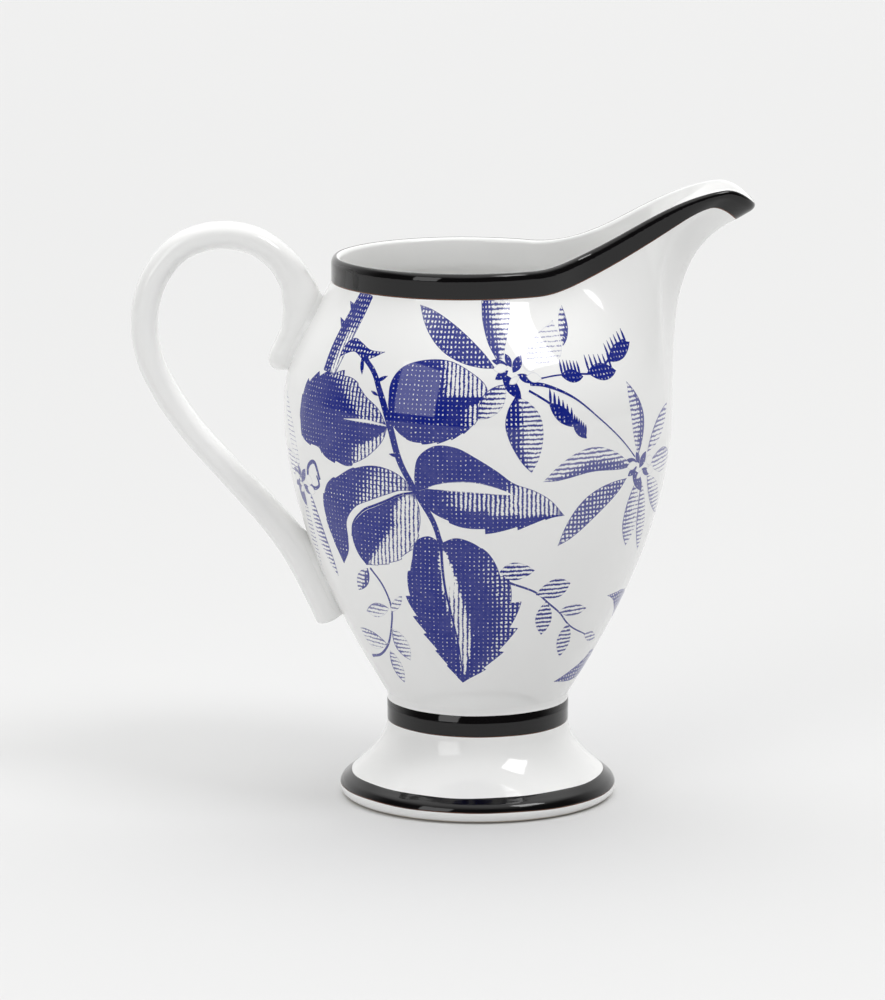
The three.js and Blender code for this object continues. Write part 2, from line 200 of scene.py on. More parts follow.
class JugShape:
    """The jug's outer surface. An angle runs from the lip, a level from 0 at the neck over 1 at the belly
    and 2 at the foot of the collar to 3 at the rim."""

    def __init__(self, sizes):
        for name in CREAMJUG_PG_sizes.__annotations__:
            setattr(self, name, getattr(sizes, name) / MM)
        turn = np.linspace(0, 2 * np.pi, 360, endpoint=False)
        self.angles = turn - 0.225 * np.sin(2 * turn)  # closer together at the lip and the handle
        self.front_radii, self.front_heights = self.lower(np.linspace(0, 1, 300))

    def rim_radius(self, angle):
        """The larger of a pinched circle and a blunt oval of the third power, which fades out beside the
        mouth, as a sixth-power mean."""
        from_lip = np.arccos(np.cos(angle))
        pinch = 1 - smooth(from_lip, math.radians(25), math.radians(118))
        mouth = self.mouth_radius - self.throat_pinch * pinch
        across = np.abs(np.sin(angle)) / self.lip_half_width
        along = np.maximum(np.cos(angle), 0) / self.lip_length
        lip = (across**3 + along**3 + 1e-12) ** (-1 / 3) * smooth(np.cos(angle), 0, 0.2)
        return (mouth**6 + lip**6) ** (1 / 6)

    def rim_height_at(self, x):
        """Level around the mouth, rising smoothly along the lip, with a parabolic dip at its end."""
        return self.rim_height + self.lip_rise * smooth(x, 12, 53) - 0.09 * np.maximum(x - 51, 0) ** 2

    def lower(self, t):
        """Radius and height of the turned part, a cubic from the neck to the belly."""
        radius = bezier(t, self.neck_radius, 27.3, self.belly_radius, self.belly_radius)
        return radius, bezier(t, self.neck_height, 35.5, 58.5, self.belly_height)

    def upper(self, angle):
        """Control points, as radius and height, of the drawn part in the half-plane at an angle: the
        belly, a rise, a shoulder and the foot of the collar, then the outer edge of the rim."""
        radius = self.rim_radius(angle)
        share = smooth(radius, self.mouth_radius - self.throat_pinch, self.lip_length)
        lean = np.array([0.86 * share**2, mix(1, 0.51, share**2)])
        lean = lean / np.hypot(*lean)
        height = self.rim_height_at(radius * np.cos(angle)) - self.rim_wall / 2 * (1 + lean[0])
        edge = np.array([radius, height])
        foot = edge - (mix(self.collar_height, self.lip_collar_height, share) - self.rim_wall / 2) * lean
        out = np.array([mix(-0.48, 0.9, share), mix(0.88, 0.44, share)])
        shoulder = foot - mix(6, 14.5, share) / np.hypot(*out) * out
        rise = (self.belly_radius, self.belly_height + mix(12, 20, share))
        return (self.belly_radius, self.belly_height), rise, shoulder, foot, edge

    def point(self, angle, level):
        """The cubic of the turned part, the cubic of the drawn part and the straight collar in turn."""
        angle, level = np.broadcast_arrays(angle, level)
        low = self.lower(np.clip(level, 0, 1))
        *drawn, edge = self.upper(angle)
        t, over = np.clip(level - 1, 0, 1), np.clip(level - 2, 0, 1)
        r, z = (np.where(level <= 1, low[k], np.where(level <= 2, bezier(t, *(p[k] for p in drawn)),
                                                      mix(drawn[3][k], edge[k], over))) for k in (0, 1))
        return on_circle(r, z, angle)

    def directions(self, angle, level):
        """Unit vectors up the meridian, from a difference in level, and outwards, square to it and to the
        difference in angle."""
        step = 1e-3
        low = np.maximum(level - step, np.minimum(np.floor(level), 2))
        up = self.point(angle, np.minimum(low + 2 * step, 3)) - self.point(angle, low)
        up /= np.linalg.norm(up, axis=-1, keepdims=True)
        out = np.cross(self.point(angle + step, level) - self.point(angle - step, level), up)
        return up, out / np.linalg.norm(out, axis=-1, keepdims=True)

    def shell(self, angle, level, inwards, upwards=0.0):
        """Surface points moved inwards along the normal and upwards along the meridian."""
        angle, level = np.broadcast_arrays(angle, level)
        up, out = self.directions(angle, level)
        depth = np.broadcast_to(inwards, angle.shape)[..., None]
        return self.point(angle, level) - out * depth + up * upwards

    def rings(self, levels, inwards, upwards=0.0):
        """One ring of points for each level."""
        return self.shell(self.angles, np.reshape(levels, (-1, 1)), np.reshape(inwards, (-1, 1)), upwards)

    def level_at(self, angle, height):
        """The level at which the meridian of an angle reaches a height, found by halving."""
        low, high = np.zeros_like(angle), np.full_like(angle, 1.9995)
        for _ in range(26):
            middle = (low + high) / 2
            below = self.point(angle, middle)[..., 2] < height
            low, high = np.where(below, middle, low), np.where(below, high, middle)
        return low

    def from_sheet(self, sheet, inwards, turn):
        """Points of a flat sheet wrapped around the bowl: their x is an arc at the radius that the turned
        part has at their height, and turn is the bearing of x = 0 from the front."""
        x, z = sheet[..., 0], sheet[..., 1]
        angle = x / np.interp(z, self.front_heights, self.front_radii) - np.pi / 2 + turn
        return self.shell(angle, self.level_at(angle, z), inwards)


def foot_side(jug):
    """The foot's outer profile as radius and height: a round edge, a hollow flare, both cubic, then the
    straight stem."""
    t = np.linspace(0, 1, 60)[:, None]
    flare = np.array([jug.foot_radius - 0.8, jug.foot_edge_height + 1.4])
    edge = bezier(t[::3], np.array([jug.foot_ring_radius, 0]), np.array([jug.foot_radius + 0.5, 0.6]),
                  np.array([jug.foot_radius + 0.4, jug.foot_edge_height]), flare)
    stem = np.array([jug.stem_radius, jug.stem_start])
    cone = bezier(t, flare, np.array([24.6, 7.1]), np.array([jug.stem_radius + 0.2, 11.5]), stem)
    top = np.stack([np.full(8, jug.stem_radius), np.linspace(jug.stem_start, jug.stem_top, 9)[1:]], axis=1)
    return np.concatenate([edge, cone[1:], top])


def offset_profile(profile, distance):
    """A profile moved outwards, square to the chord through each point's neighbours."""
    padded = np.concatenate([profile[:1], profile, profile[-1:]])
    chord = padded[2:] - padded[:-2]
    chord /= np.linalg.norm(chord, axis=1, keepdims=True)
    return profile + distance * np.stack([chord[:, 1], -chord[:, 0]], axis=1)


def turned(profile):
    """A profile of radius and height turned around the axis: one ring of points for each."""
    return on_circle(profile[:, :1], profile[:, 1:], np.linspace(0, 2 * np.pi, AROUND, endpoint=False))


# --- meshes -------------------------------------------------------------------------------------------


def wrapped_faces(rows, columns, loop=False):
    """Quads of a grid whose columns wrap around, and whose last row joins the first with loop."""
    i, j = np.mgrid[:rows if loop else rows - 1, :columns]
    following, above = (j + 1) % columns, (i + 1) % rows * columns
    corners = i * columns + j, i * columns + following, above + following, above + j
    return np.stack(corners, axis=-1).reshape(-1, 4)


def ring_surface(rings, loop=False, **data):
    """A closed surface from rings: joined to a loop, or closed at both ends by a fan to the middle."""
    rows, columns, _ = rings.shape
    points = rings.reshape(-1, 3)
    fans = np.zeros((0, 3), int)
    if not loop:
        j = np.arange(columns)
        following, top = (j + 1) % columns, (rows - 1) * columns
        first, last = np.full(columns, len(points)), np.full(columns, len(points) + 1)
        fans = np.concatenate([np.stack([first, following, j], axis=1),
                               np.stack([last, top + j, top + following], axis=1)])
        points = np.concatenate([points, rings[:1].mean(axis=1), rings[-1:].mean(axis=1)])
    return facing_out(points, wrapped_faces(rows, columns, loop), fans, data)


def facing_out(points, quads, fans, data):
    """A closed surface, its faces turned round if the volume they enclose comes out negative."""
    corners = np.concatenate([quads[:, [0, 1, 2]], quads[:, [0, 2, 3]], fans])
    a, b, c = (points[corners[:, k]] for k in range(3))
    if np.einsum("ij,ij->", a, np.cross(b, c)) < 0:
        quads, fans = quads[:, ::-1], fans[:, ::-1]
    return points, quads, fans, data


def make_piece(name, parts, material, nodes=(), crease=38.0):
    """One object at the origin from several closed surfaces, with its values for each point as
    attributes, smooth but for edges sharper than crease degrees."""
    starts = np.cumsum([0] + [len(points) for points, *_ in parts])
    points = np.concatenate([part[0] for part in parts]) * MM + [AXIS_X, 0, 0]
    faces = []
    for start, (_, quads, fans, _) in zip(starts, parts):
        faces += (quads + start).tolist() + (fans + start).tolist()
    mesh = bpy.data.meshes.new(name)
    mesh.from_pydata(points.tolist(), [], faces)
    for key in parts[0][3]:
        values = np.concatenate([part[3][key] for part in parts]).astype(np.float32)
        kind = "FLOAT" if values.ndim == 1 else "FLOAT_VECTOR"
        attribute = mesh.attributes.new(key, kind, "POINT")
        attribute.data.foreach_set("value" if kind == "FLOAT" else "vector", values.ravel())
    mesh.update()
    mesh.shade_smooth()
    mesh.set_sharp_from_angle(angle=math.radians(crease))
    mesh.materials.append(material)
    if mesh.validate():
        raise RuntimeError(f"{name} had faces that don't hold together")
    piece = bpy.data.objects.new(name, mesh)
    bpy.context.collection.objects.link(piece)
    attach(piece, BODY)
    if nodes:
        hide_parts(*nodes)


# --- materials ----------------------------------------------------------------------------------------


class Value:
    """A number that varies over a surface. Arithmetic on it adds Math nodes to its material."""

    def __init__(self, shader, socket):
        self.shader = shader
        self.socket = socket

    def math(self, operation, *values, clamp=False):
        settings = {"operation": operation, "use_clamp": clamp}
        node = self.shader.add("ShaderNodeMath", settings, dict(enumerate(values)))
        return Value(self.shader, node.outputs[0])

    def __add__(self, other):
        return self.math("ADD", self, other)

    def __sub__(self, other):
        return self.math("SUBTRACT", self, other)

    def __rsub__(self, other):
        return self.math("SUBTRACT", other, self)

    def __mul__(self, other):
        return self.math("MULTIPLY", self, other)

    def __truediv__(self, other):
        return self.math("DIVIDE", self, other)

    __radd__ = __add__
    __rmul__ = __mul__

    def clamped(self):
        return self.math("ADD", self, 0.0, clamp=True)

    def rising(self, low, high):
        """0 below low, 1 above high, smooth between them."""
        node = self.shader.add("ShaderNodeMapRange", {"interpolation_type": "SMOOTHSTEP"},
                               {"Value": self, "From Min": low, "From Max": high})
        return Value(self.shader, node.outputs[0])


class Shader:
    """The node tree of a material or a world, built from expressions."""

    def __init__(self, owner, surface="Principled BSDF"):
        owner.use_nodes = True
        self.tree = owner.node_tree
        self.surface = self.tree.nodes[surface]

    def add(self, kind, settings, inputs):
        """A node of a type, with its settings, then the values or links of its sockets."""
        node = self.tree.nodes.new(kind)
        for key, setting in settings.items():
            setattr(node, key, setting)
        for key, value in inputs.items():
            self.feed(node.inputs[key], value)
        return node

    def feed(self, socket, value):
        """Links a socket to a value, or sets it."""
        if isinstance(value, Value):
            value = value.socket
        if isinstance(value, bpy.types.NodeSocket):
            self.tree.links.new(value, socket)
        else:
            socket.default_value = value

    def attribute(self, name):
        """A piece's own value for each point, as a number and as a vector."""
        node = self.add("ShaderNodeAttribute", {"attribute_name": name}, {})
        return Value(self, node.outputs["Fac"]), node.outputs["Vector"]

    def split(self, vector):
        node = self.add("ShaderNodeSeparateXYZ", {}, {0: vector})
        return [Value(self, node.outputs[k]) for k in range(3)]

    def place(self, coordinates="Object"):
        """Object coordinates in metres, unless others are named."""
        return self.add("ShaderNodeTexCoord", {}, {}).outputs[coordinates]

    def noise(self, vector, scale, detail=2.0, roughness=0.5):
        """Noise around 0, from about -0.5 to 0.5."""
        node = self.add("ShaderNodeTexNoise", {},
                        {"Vector": vector, "Scale": scale, "Detail": detail, "Roughness": roughness})
        return Value(self, node.outputs[0]) - 0.5

    def blend(self, factor, first, second):
        """The colour first, towards second by factor."""
        return self.add("ShaderNodeMix", {"data_type": "RGBA"}, {0: factor, 6: first, 7: second}).outputs[2]

    def finish(self, **sockets):
        """Sets the surface's sockets, whose names are given with underscores for spaces."""
        for key, value in sockets.items():
            self.feed(self.surface.inputs[key.replace("_", " ")], value)

    def glaze(self, body, rough, height, ior=1.5):
        """Finishes a glassy surface of a colour and roughness, whose height varies by RELIEF."""
        bump = self.add("ShaderNodeBump", {}, {"Height": height, "Distance": RELIEF, "Strength": 1.0})
        self.finish(Base_Color=body, Roughness=rough, Normal=bump.outputs[0], IOR=ior)


def rgba(shade, factor=1.0):
    """A property colour, scaled, with full opacity."""
    return (*(channel * factor for channel in shade), 1.0)


def grey(level):
    """A neutral colour."""
    return (level, level, level, 1)


def glaze_waviness(shader, place):
    """Height of the slow unevenness of a glaze, with a fine orange peel on top, around 0."""
    return shader.noise(place, 75.0, 1.0) + shader.noise(place, 420.0, 1.0) * 0.06


def glaze_roughness(shader, place, looks):
    """The roughness that is set, with a little unevenness."""
    return shader.noise(place, 210.0) * 0.02 + looks.glaze_roughness


def glaze_colour(shader, place, looks):
    """The glaze's white, a little cooler or warmer in soft patches, with rare pinholes."""
    patch = shader.noise(place, 34.0, 3.0)
    warm = shader.blend((patch * 1.6 + 0.5).clamped(), rgba(looks.glaze, 0.985), rgba(looks.glaze, 1.015))
    speck = shader.add("ShaderNodeTexVoronoi", {"feature": "F1"}, {"Vector": place, "Scale": 95.0})
    near = 1 - Value(shader, speck.outputs["Distance"]).rising(0.018, 0.034)
    rare = Value(shader, speck.outputs["Color"]).rising(0.80, 0.82)
    return shader.blend(near * rare * 0.55, warm, (0.30, 0.24, 0.17, 1))


def porcelain(shader, looks):
    """White body under a clear glossy glaze."""
    place = shader.place()
    shader.glaze(glaze_colour(shader, place, looks), glaze_roughness(shader, place, looks),
                 glaze_waviness(shader, place))


def foot_porcelain(shader, looks):
    """The same, with the glaze wiped off the ring that the jug stands on."""
    place = shader.place()
    _, _, z = shader.split(place)
    bare = 1 - (z + shader.noise(place, 160.0, 3.0) * 0.0005).rising(0.00035, 0.00075)
    body = shader.blend(bare, glaze_colour(shader, place, looks), rgba(looks.bare))
    grain = shader.noise(place, 2600.0, 3.0) * bare * 0.5
    rough = glaze_roughness(shader, place, looks) + bare * 0.6
    shader.glaze(body, rough, glaze_waviness(shader, place) + grain)


def slip(shader, looks):
    """The slip in the joins under a glaze that has pooled in them: a little greyer and glossier."""
    place = shader.place()
    tint = (shader.noise(place, 260.0, 3.0) * 1.4 + 0.5).clamped()
    body = shader.blend(tint, rgba(looks.glaze, 0.95), rgba(looks.glaze))
    shader.glaze(body, looks.glaze_roughness, glaze_waviness(shader, place))


def enamel(shader, looks):
    """Black enamel with a softer gloss than the glaze, thin at its borders, where a line of brown flux
    shows, with faint brush streaks around the jug."""
    place = shader.place()
    border, _ = shader.attribute("border")
    lean, _ = shader.attribute("lean")
    ragged = border + shader.noise(place, 420.0) * 0.16
    line = (1 - ragged.rising(0.10, 0.30)) * (shader.noise(place, 55.0) * 1.8 + 0.75).clamped()
    streaks = shader.add("ShaderNodeMapping", {}, {"Vector": place, "Scale": (1.0, 1.0, 14.0)}).outputs[0]
    brush = shader.noise(streaks, 130.0, 3.0)
    body = shader.blend((brush * 1.2 + 0.5).clamped(), rgba(looks.enamel), rgba(looks.enamel, 2.0))
    height = glaze_waviness(shader, place) * 1.4 + brush * 0.5 - lean * 20
    body = shader.blend(line, body, rgba(looks.enamel_edge))
    shader.glaze(body, brush * 0.03 + 0.05 + line * 0.1, height, ior=1.45)


def engraved(value, weight, softness):
    """Ink of one set of parallel lines: a line lies halfway between whole numbers of value, and it is as
    wide as weight, from nothing at 0 to a solid field at 1, with soft edges."""
    offset = value.math("FRACT", value) - 0.5
    away = offset.math("ABSOLUTE", offset) * 2
    return ((weight - away) / (2 * softness) + 0.5).clamped()


def cobalt_print(shader, looks):
    """Cobalt under the glaze, engraved as upright and level lines. sheet holds the arc, the height and
    the distance to the outline in millimetres; tone the weight of the two sets of lines and how far the
    ink has faded; vein the distance to a white midrib, in half widths of it."""
    place = shader.place()
    _, sheet = shader.attribute("sheet")
    _, tone = shader.attribute("tone")
    vein, _ = shader.attribute("vein")
    across, height, edge = shader.split(sheet)
    upright, level, faded = shader.split(tone)
    grain = shader.noise(sheet, 1.3, 2.0, 0.65)
    patch = shader.noise(sheet, 0.23)
    wobble = shader.noise(sheet, 0.5) * 0.5
    uneven = grain * 0.7 + shader.noise(sheet, 3.1) * 1.0 + patch * 0.3
    pitch = looks.print_pitch / MM
    first = engraved(across / pitch + wobble, upright + uneven, looks.line_softness)
    second = engraved(height / pitch + wobble, level + uneven, looks.line_softness)
    ink = 1 - (1 - first) * (1 - second)
    outline = (1 - (edge + grain * 0.12).rising(0.10, 0.26)) * (upright.rising(-0.15, 0.2) * 0.8 + 0.2)
    ink = ink.math("MAXIMUM", ink, outline * (grain * 0.8 + 0.85).clamped())
    ink = ink * (vein + grain * 0.3).rising(0.8, 1.15)
    thin = (faded + patch * 0.25 + grain * 0.2).clamped()
    dark = shader.blend(thin, rgba(looks.cobalt), rgba(looks.cobalt_thin))
    body = shader.blend(ink.clamped(), glaze_colour(shader, place, looks), dark)
    shader.glaze(body, glaze_roughness(shader, place, looks), glaze_waviness(shader, place))


def material_once(name, paint, looks):
    """The material of that name, painted if this run hasn't yet."""
    material = bpy.data.materials.get(name)
    if material is None:
        material = bpy.data.materials.new(name)
        paint(Shader(material), looks)
    return material


# --- bowl, foot and handle ----------------------------------------------------------------------------


def bowl_surface(jug):
    """The bowl as rings: the outside over both cubics, a rebate under the enamel, then the inside at a
    wall thickness that runs smoothly from belly to rim, and a dished floor, a cubic."""
    underside = on_circle(np.array([[6.0], [13.0], [18.6]]), jug.neck_height, jug.angles)
    outside = jug.rings(np.concatenate([np.linspace(0, 1, 60), np.linspace(1, 2, 64)[1:]]), INSET)
    crown = jug.rim_wall / 2
    radius = crown - INSET
    rebate = [jug.rings(2.0, REBATE), jug.rings(3.0, REBATE), jug.rings(3.0, crown, crown - REBATE)]
    for turn in np.linspace(np.pi / 2, np.pi, 8):
        rebate.append(jug.rings(3.0, crown - radius * np.cos(turn), radius * np.sin(turn)))
    levels = np.concatenate([np.linspace(2, 1, 44), np.linspace(1, 0.15, 50)[1:]])
    inside = jug.rings(levels, mix(jug.bowl_wall, jug.rim_wall, smooth(levels, 0.6, 2)))
    well = np.hypot(inside[-1, :, 0], inside[-1, :, 1]).mean(), inside[-1, :, 2].mean()
    floor = jug.neck_height + jug.floor_thickness
    t = np.linspace(1, 0, 16)[1:-1, None]
    height = bezier(t, floor, floor, floor + 0.5, well[1])
    dish = on_circle(bezier(t, 0.0, 14.0, 18.5, well[0]), height, jug.angles)
    return ring_surface(np.concatenate([underside, outside, *rebate, inside, dish]))


def rim_band_surface(jug):
    """The enamel of collar and rim as a loop of rings: a beaded lower border, the collar, a quarter
    ellipse up to the rim's crown, and back underneath. Its border value is the distance from the lower
    edge."""
    crown = jug.rim_wall / 2
    bead = jug.rings([1.993, 2.004, 2.015, 2.035, 2.07], [0.16, 0.075, 0.035, 0.018, SKIN])
    collar = jug.rings(np.linspace(2.12, 3 - RIM_DROP / jug.collar_height, 12), SKIN)
    over = []
    for degrees, thinner in (*((10 * k, 0) for k in range(1, 10)), (96, 0.03), (101, 0.075)):
        turn = math.radians(degrees)
        up = (crown + RIM_DROP - SKIN) * np.sin(turn) - RIM_DROP - thinner
        over.append(jug.rings(3.0, crown - (crown - SKIN) * np.cos(turn), up))
    under = [jug.rings(3.0, crown, crown - REBATE), jug.rings(3.0, 0.42), jug.rings(2.01, 0.42)]
    rings = np.concatenate([bead, collar, *over, *under])
    away = np.linalg.norm(rings - rings[1][None], axis=2)
    away[0] = 0
    return ring_surface(rings, True, border=away.ravel(), lean=np.zeros(away.size))


def wavering(angle, size, shifts):
    """A border that wavers around the jug: three sines of 2, 5 and 11 periods, each half of the last."""
    waves = zip((2, 5, 11), shifts)
    return sum(size / 2**k * np.sin(n * angle + shift) for k, (n, shift) in enumerate(waves))


def side_band_surface(jug, low, high, sway, thinner=0.0):
    """An enamel band on the foot's side between two wavering heights: across the band it follows the
    foot's profile, swelling from the borders by a square root, and it goes back behind the surface. lean
    says by how many millimetres the brush has drawn it thinner towards its upper border."""
    side = foot_side(jug)
    outwards = offset_profile(side, 1.0) - side
    angle = np.linspace(0, 2 * np.pi, AROUND, endpoint=False)[None, :]
    share = (1 - np.cos(np.linspace(0, np.pi, 30)))[:, None] / 2
    bottom = low + wavering(angle, sway, (0.4, 1.9, 3.1))
    height = mix(bottom, high + wavering(angle, sway, (2.2, 0.7, 5.0)), share)
    lift = 0.078 * np.minimum(1, 3.2 * np.sqrt(share * (1 - share))) - 0.09
    order = np.argsort(side[:, 1])
    at = lambda column: np.interp(height, side[order, 1], column[order])
    point = lambda off: on_circle(at(side[:, 0]) + off * at(outwards[:, 0]),
                                  height + off * at(outwards[:, 1]), angle)
    rings = np.concatenate([point(lift), point(np.full_like(lift, -BAND_BACK))[::-1]])
    lean = thinner * np.maximum(0, 2 * share**2 - 0.85) + 0 * height
    there_and_back = lambda values: np.concatenate([values, values[::-1]]).ravel()
    return ring_surface(rings, True, border=there_and_back(height - bottom), lean=there_and_back(lean))


def foot_surface(jug):
    """The hollow foot as a loop of rings: its outer profile, then the inside of the stem, a flare and
    the inner side of the standing ring, rounded by chords."""
    side = offset_profile(foot_side(jug), -INSET)
    side[:, 1] = np.maximum(side[:, 1], STANDING)
    top = jug.stem_radius - jug.foot_wall - 1.2
    ring = jug.foot_ring_radius - 2.9
    inside = through([(top, jug.stem_top), (top, jug.stem_start + 1), (top + 1.4, 11), (top + 4.6, 6.5),
                      (ring - 0.5, 2.4), (ring, 0.5)], np.linspace(0, 1, 40))
    base = [(ring + 0.3, 0.12), (ring + 0.9, STANDING), (jug.foot_ring_radius - 0.6, STANDING)]
    return ring_surface(turned(np.concatenate([side, inside, base])), loop=True)


def foot_lute_surface(jug):
    """The slip between stem and bowl as a loop of rings: a shallow hollow fillet, a cubic, and its
    hidden inner side."""
    t = np.linspace(0, 1, 16)
    radius = bezier(t, jug.stem_radius - INSET - 0.02, jug.stem_radius + 0.02, jug.stem_radius + 0.05,
                    jug.neck_radius + 0.43)
    height = bezier(t, jug.stem_top - 0.7, jug.stem_top + 0.1, jug.stem_top + 0.7, jug.neck_height + 1.15)
    inner = [(jug.stem_radius - 3, jug.neck_height + 0.4), (jug.stem_radius - 3, jug.stem_top - 0.5)]
    return ring_surface(turned(np.concatenate([np.stack([radius, height], axis=1), inner])), loop=True)


# Middle of the strap from the spur of its upper end to the blunt lower end: x, z, half thickness and
# half width.
STRAP = np.array([
    (-43, 91.6, 2.2, 3.4), (-40.9, 95, 2.9, 4.4), (-38.7, 98.8, 3.3, 5), (-37.4, 102.6, 3.8, 5.2),
    (-37.2, 106.6, 4.2, 4.9), (-38.8, 111, 3.5, 4.5), (-41.9, 115.1, 3.1, 4.3), (-46.9, 118.6, 3, 4.2),
    (-54.4, 119.8, 2.95, 4.2), (-62.2, 117.4, 3, 4.2), (-67.8, 111, 3, 4.2), (-70.1, 102.4, 3, 4.2),
    (-69.2, 94.4, 2.95, 4.2), (-66, 87, 2.85, 4.2), (-60.7, 79, 2.75, 4.2), (-53.6, 70.8, 2.8, 4.3),
    (-45.6, 62.2, 3.1, 4.6), (-39.3, 54.4, 3.4, 5), (-35, 46.4, 3.3, 5.2), (-32, 39.6, 3.1, 4.9),
    (-31.1, 37.4, 2.9, 4.6),
])


def strap_rings(t, grow, sides=44):
    """Sections of the strap at t from 0 to 1: superellipses of power 2.5 square to a centripetal
    Catmull-Rom path, with sizes eased between stations and both ends rounded as quarter ellipses."""
    path = STRAP[:, :2]
    middle = through(path, t)
    along = through(path, t + 1e-4) - through(path, t - 1e-4)
    along /= np.linalg.norm(along, axis=1, keepdims=True)
    last = len(STRAP) - 1
    place = t * last
    i = np.minimum(place.astype(int), last - 1)
    size = mix(STRAP[i, 2:], STRAP[i + 1, 2:], smooth(place - i, 0, 1)[:, None])
    end = np.clip(np.minimum(place, last - place) / 0.5, 0, 1)
    size = size * np.sqrt(np.maximum(1 - (1 - end) ** 2, 0.012))[:, None]
    angle = np.linspace(0, 2 * np.pi, sides, endpoint=False)
    corner = lambda value: np.sign(value) * np.abs(value) ** (2 / 2.5)
    thick = (size[:, :1] + grow) * corner(np.cos(angle))
    wide = (size[:, 1:] + grow) * corner(np.sin(angle))
    x, z = middle[:, :1] + thick * along[:, 1:], middle[:, 1:] - thick * along[:, :1]
    return np.stack([x, wide, z], axis=-1)


def clearance(jug, points):
    """How far points lie outside the bowl's surface, measured level, along their own radius."""
    angle = np.arctan2(points[..., 1], points[..., 0])
    surface = jug.point(angle, jug.level_at(angle, points[..., 2]))
    radius = np.hypot(points[..., 0], points[..., 1])
    return radius - np.hypot(surface[..., 0], surface[..., 1]), radius, angle


def sunk_into_bowl(jug, points, depth):
    """Points deeper in the bowl than depth are brought out to it, along their own radius."""
    clear, radius, angle = clearance(jug, points)
    return on_circle(np.where(clear < -depth, radius - clear - depth, radius), points[..., 2], angle)


def handle_surface(jug):
    """The strap as closed rings, closer together near its two ends, set a little into the bowl."""
    t = np.linspace(0, 1, 420)
    rings = strap_rings(t - 0.012 * np.sin(2 * np.pi * t), -STRAP_INSET)
    return ring_surface(sunk_into_bowl(jug, rings, 0.5))


def lute_surface(jug, start, stop):
    """The slip around one end of the strap: the strap's own sections, grown by a hollow fillet that
    falls off with the square of the distance from the bowl, and hidden inside the strap beyond it."""
    t = np.linspace(start, stop, 130)
    plain = strap_rings(t, -STRAP_INSET)
    near = np.clip(1 - clearance(jug, plain)[0] / 1.5, 0, 1.25)
    grow = 0.85 * near**2 - 0.14 * (1 - np.clip(near * 4, 0, 1))
    rings = plain + (strap_rings(t, 1 - STRAP_INSET) - plain) * grow[..., None]
    return ring_surface(sunk_into_bowl(jug, rings, 0.35))


# --- print --------------------------------------------------------------------------------------------


def sideways(path):
    """Unit vectors to the left of a path, square to the difference between each point's neighbours."""
    along = np.gradient(path, axis=0)
    along /= np.maximum(np.linalg.norm(along, axis=1, keepdims=True), 1e-6)
    return np.stack([-along[:, 1], along[:, 0]], axis=1)


def blade(left, rib, right, shade, rows=72, columns=25, teeth=(0, 0, 0, 0), vein=0.0, slit=(0.0, 1.0)):
    """A leaf or petal in the flat sheet: each margin and the rib are Catmull-Rom curves from its base to
    its tip, and across it a straight line runs from margin to rib to margin. Teeth cut the margins as
    saws that lean to the tip (count and depth, left and right). shade gives the weight of the upright
    and level lines and the fading for places along and across it. vein is the half width of a white
    slit along the rib, between the two shares of its length."""
    t = np.linspace(0, 1, rows)
    u, v = t[:, None], np.linspace(-1, 1, columns)
    middle = evenly(rib, rows)
    margins = []
    for points, count, depth, way in ((left, *teeth[:2], 1), (right, *teeth[2:], -1)):
        saw = 1 - depth * np.mod(t * count * (0.8 + 0.4 * t), 1) * smooth(t, 0.1, 0.5)
        margin = middle + (evenly([rib[0], *points, rib[-1]], rows) - middle) * saw[:, None]
        narrow = (np.linalg.norm(margin - middle, axis=1) < ROOT_WIDTH)[:, None]
        margins.append(margin + way * ROOT_WIDTH * sideways(middle) * narrow)
    margin = np.where(v[:, None] < 0, margins[0][:, None], margins[1][:, None])
    width = np.linalg.norm(margin - middle[:, None], axis=2)
    opening = np.sin(np.pi * np.clip((u - slit[0]) / (slit[1] - slit[0]), 0, 1)) ** 0.7
    from_rib = width * np.abs(v) / (vein * opening + 0.01) if vein else np.full_like(width, FAR)
    return {
        "sheet": mix(middle[:, None], margin, np.abs(v)[:, None]),
        "edge": np.minimum(width * (1 - np.abs(v)), 3 * np.minimum(u, 1 - u) + 0.02),
        "tone": np.stack(np.broadcast_arrays(*shade(u, v), width)[:3], axis=-1),
        "vein": np.minimum(from_rib, FAR),
    }


def ribbed(path, widths, shade, **extra):
    """A blade whose margins lie at widths to both sides of a path."""
    middle = evenly(path, 24)
    width = through(np.reshape(widths, (-1, 1)), np.linspace(0, 1, 24))
    reach = sideways(middle) * np.maximum(width, 0.02)
    kept = slice(1, -1) if widths[0] < 0.1 else slice(None)
    return blade((middle + reach)[kept], middle, (middle - reach)[kept], shade, **extra)


def petal(base, tip, half_width, shade, bend=0.0, fullest=0.5, **extra):
    """A pointed oval from base to tip, bent sideways by a share of its length, fullest at a share of it."""
    base, tip = np.array(base, float), np.array(tip, float)
    run = tip - base
    path = [base, base + run * 0.5 + np.array([-run[1], run[0]]) * bend, tip]
    swell = np.interp(np.linspace(0, 1, 9), [0, fullest, 1], [0, 0.5, 1])
    return ribbed(path, half_width * np.sin(np.pi * swell) ** 0.8, shade, **extra)


def petals(*rows, **extra):
    """Petals from rows of a petal's own values."""
    return [petal(*row, **extra) for row in rows]


def strip(path, widths, shade, **extra):
    """A stem along a path, with half widths from its start to its end."""
    return ribbed(path, widths, shade, columns=7, **extra)


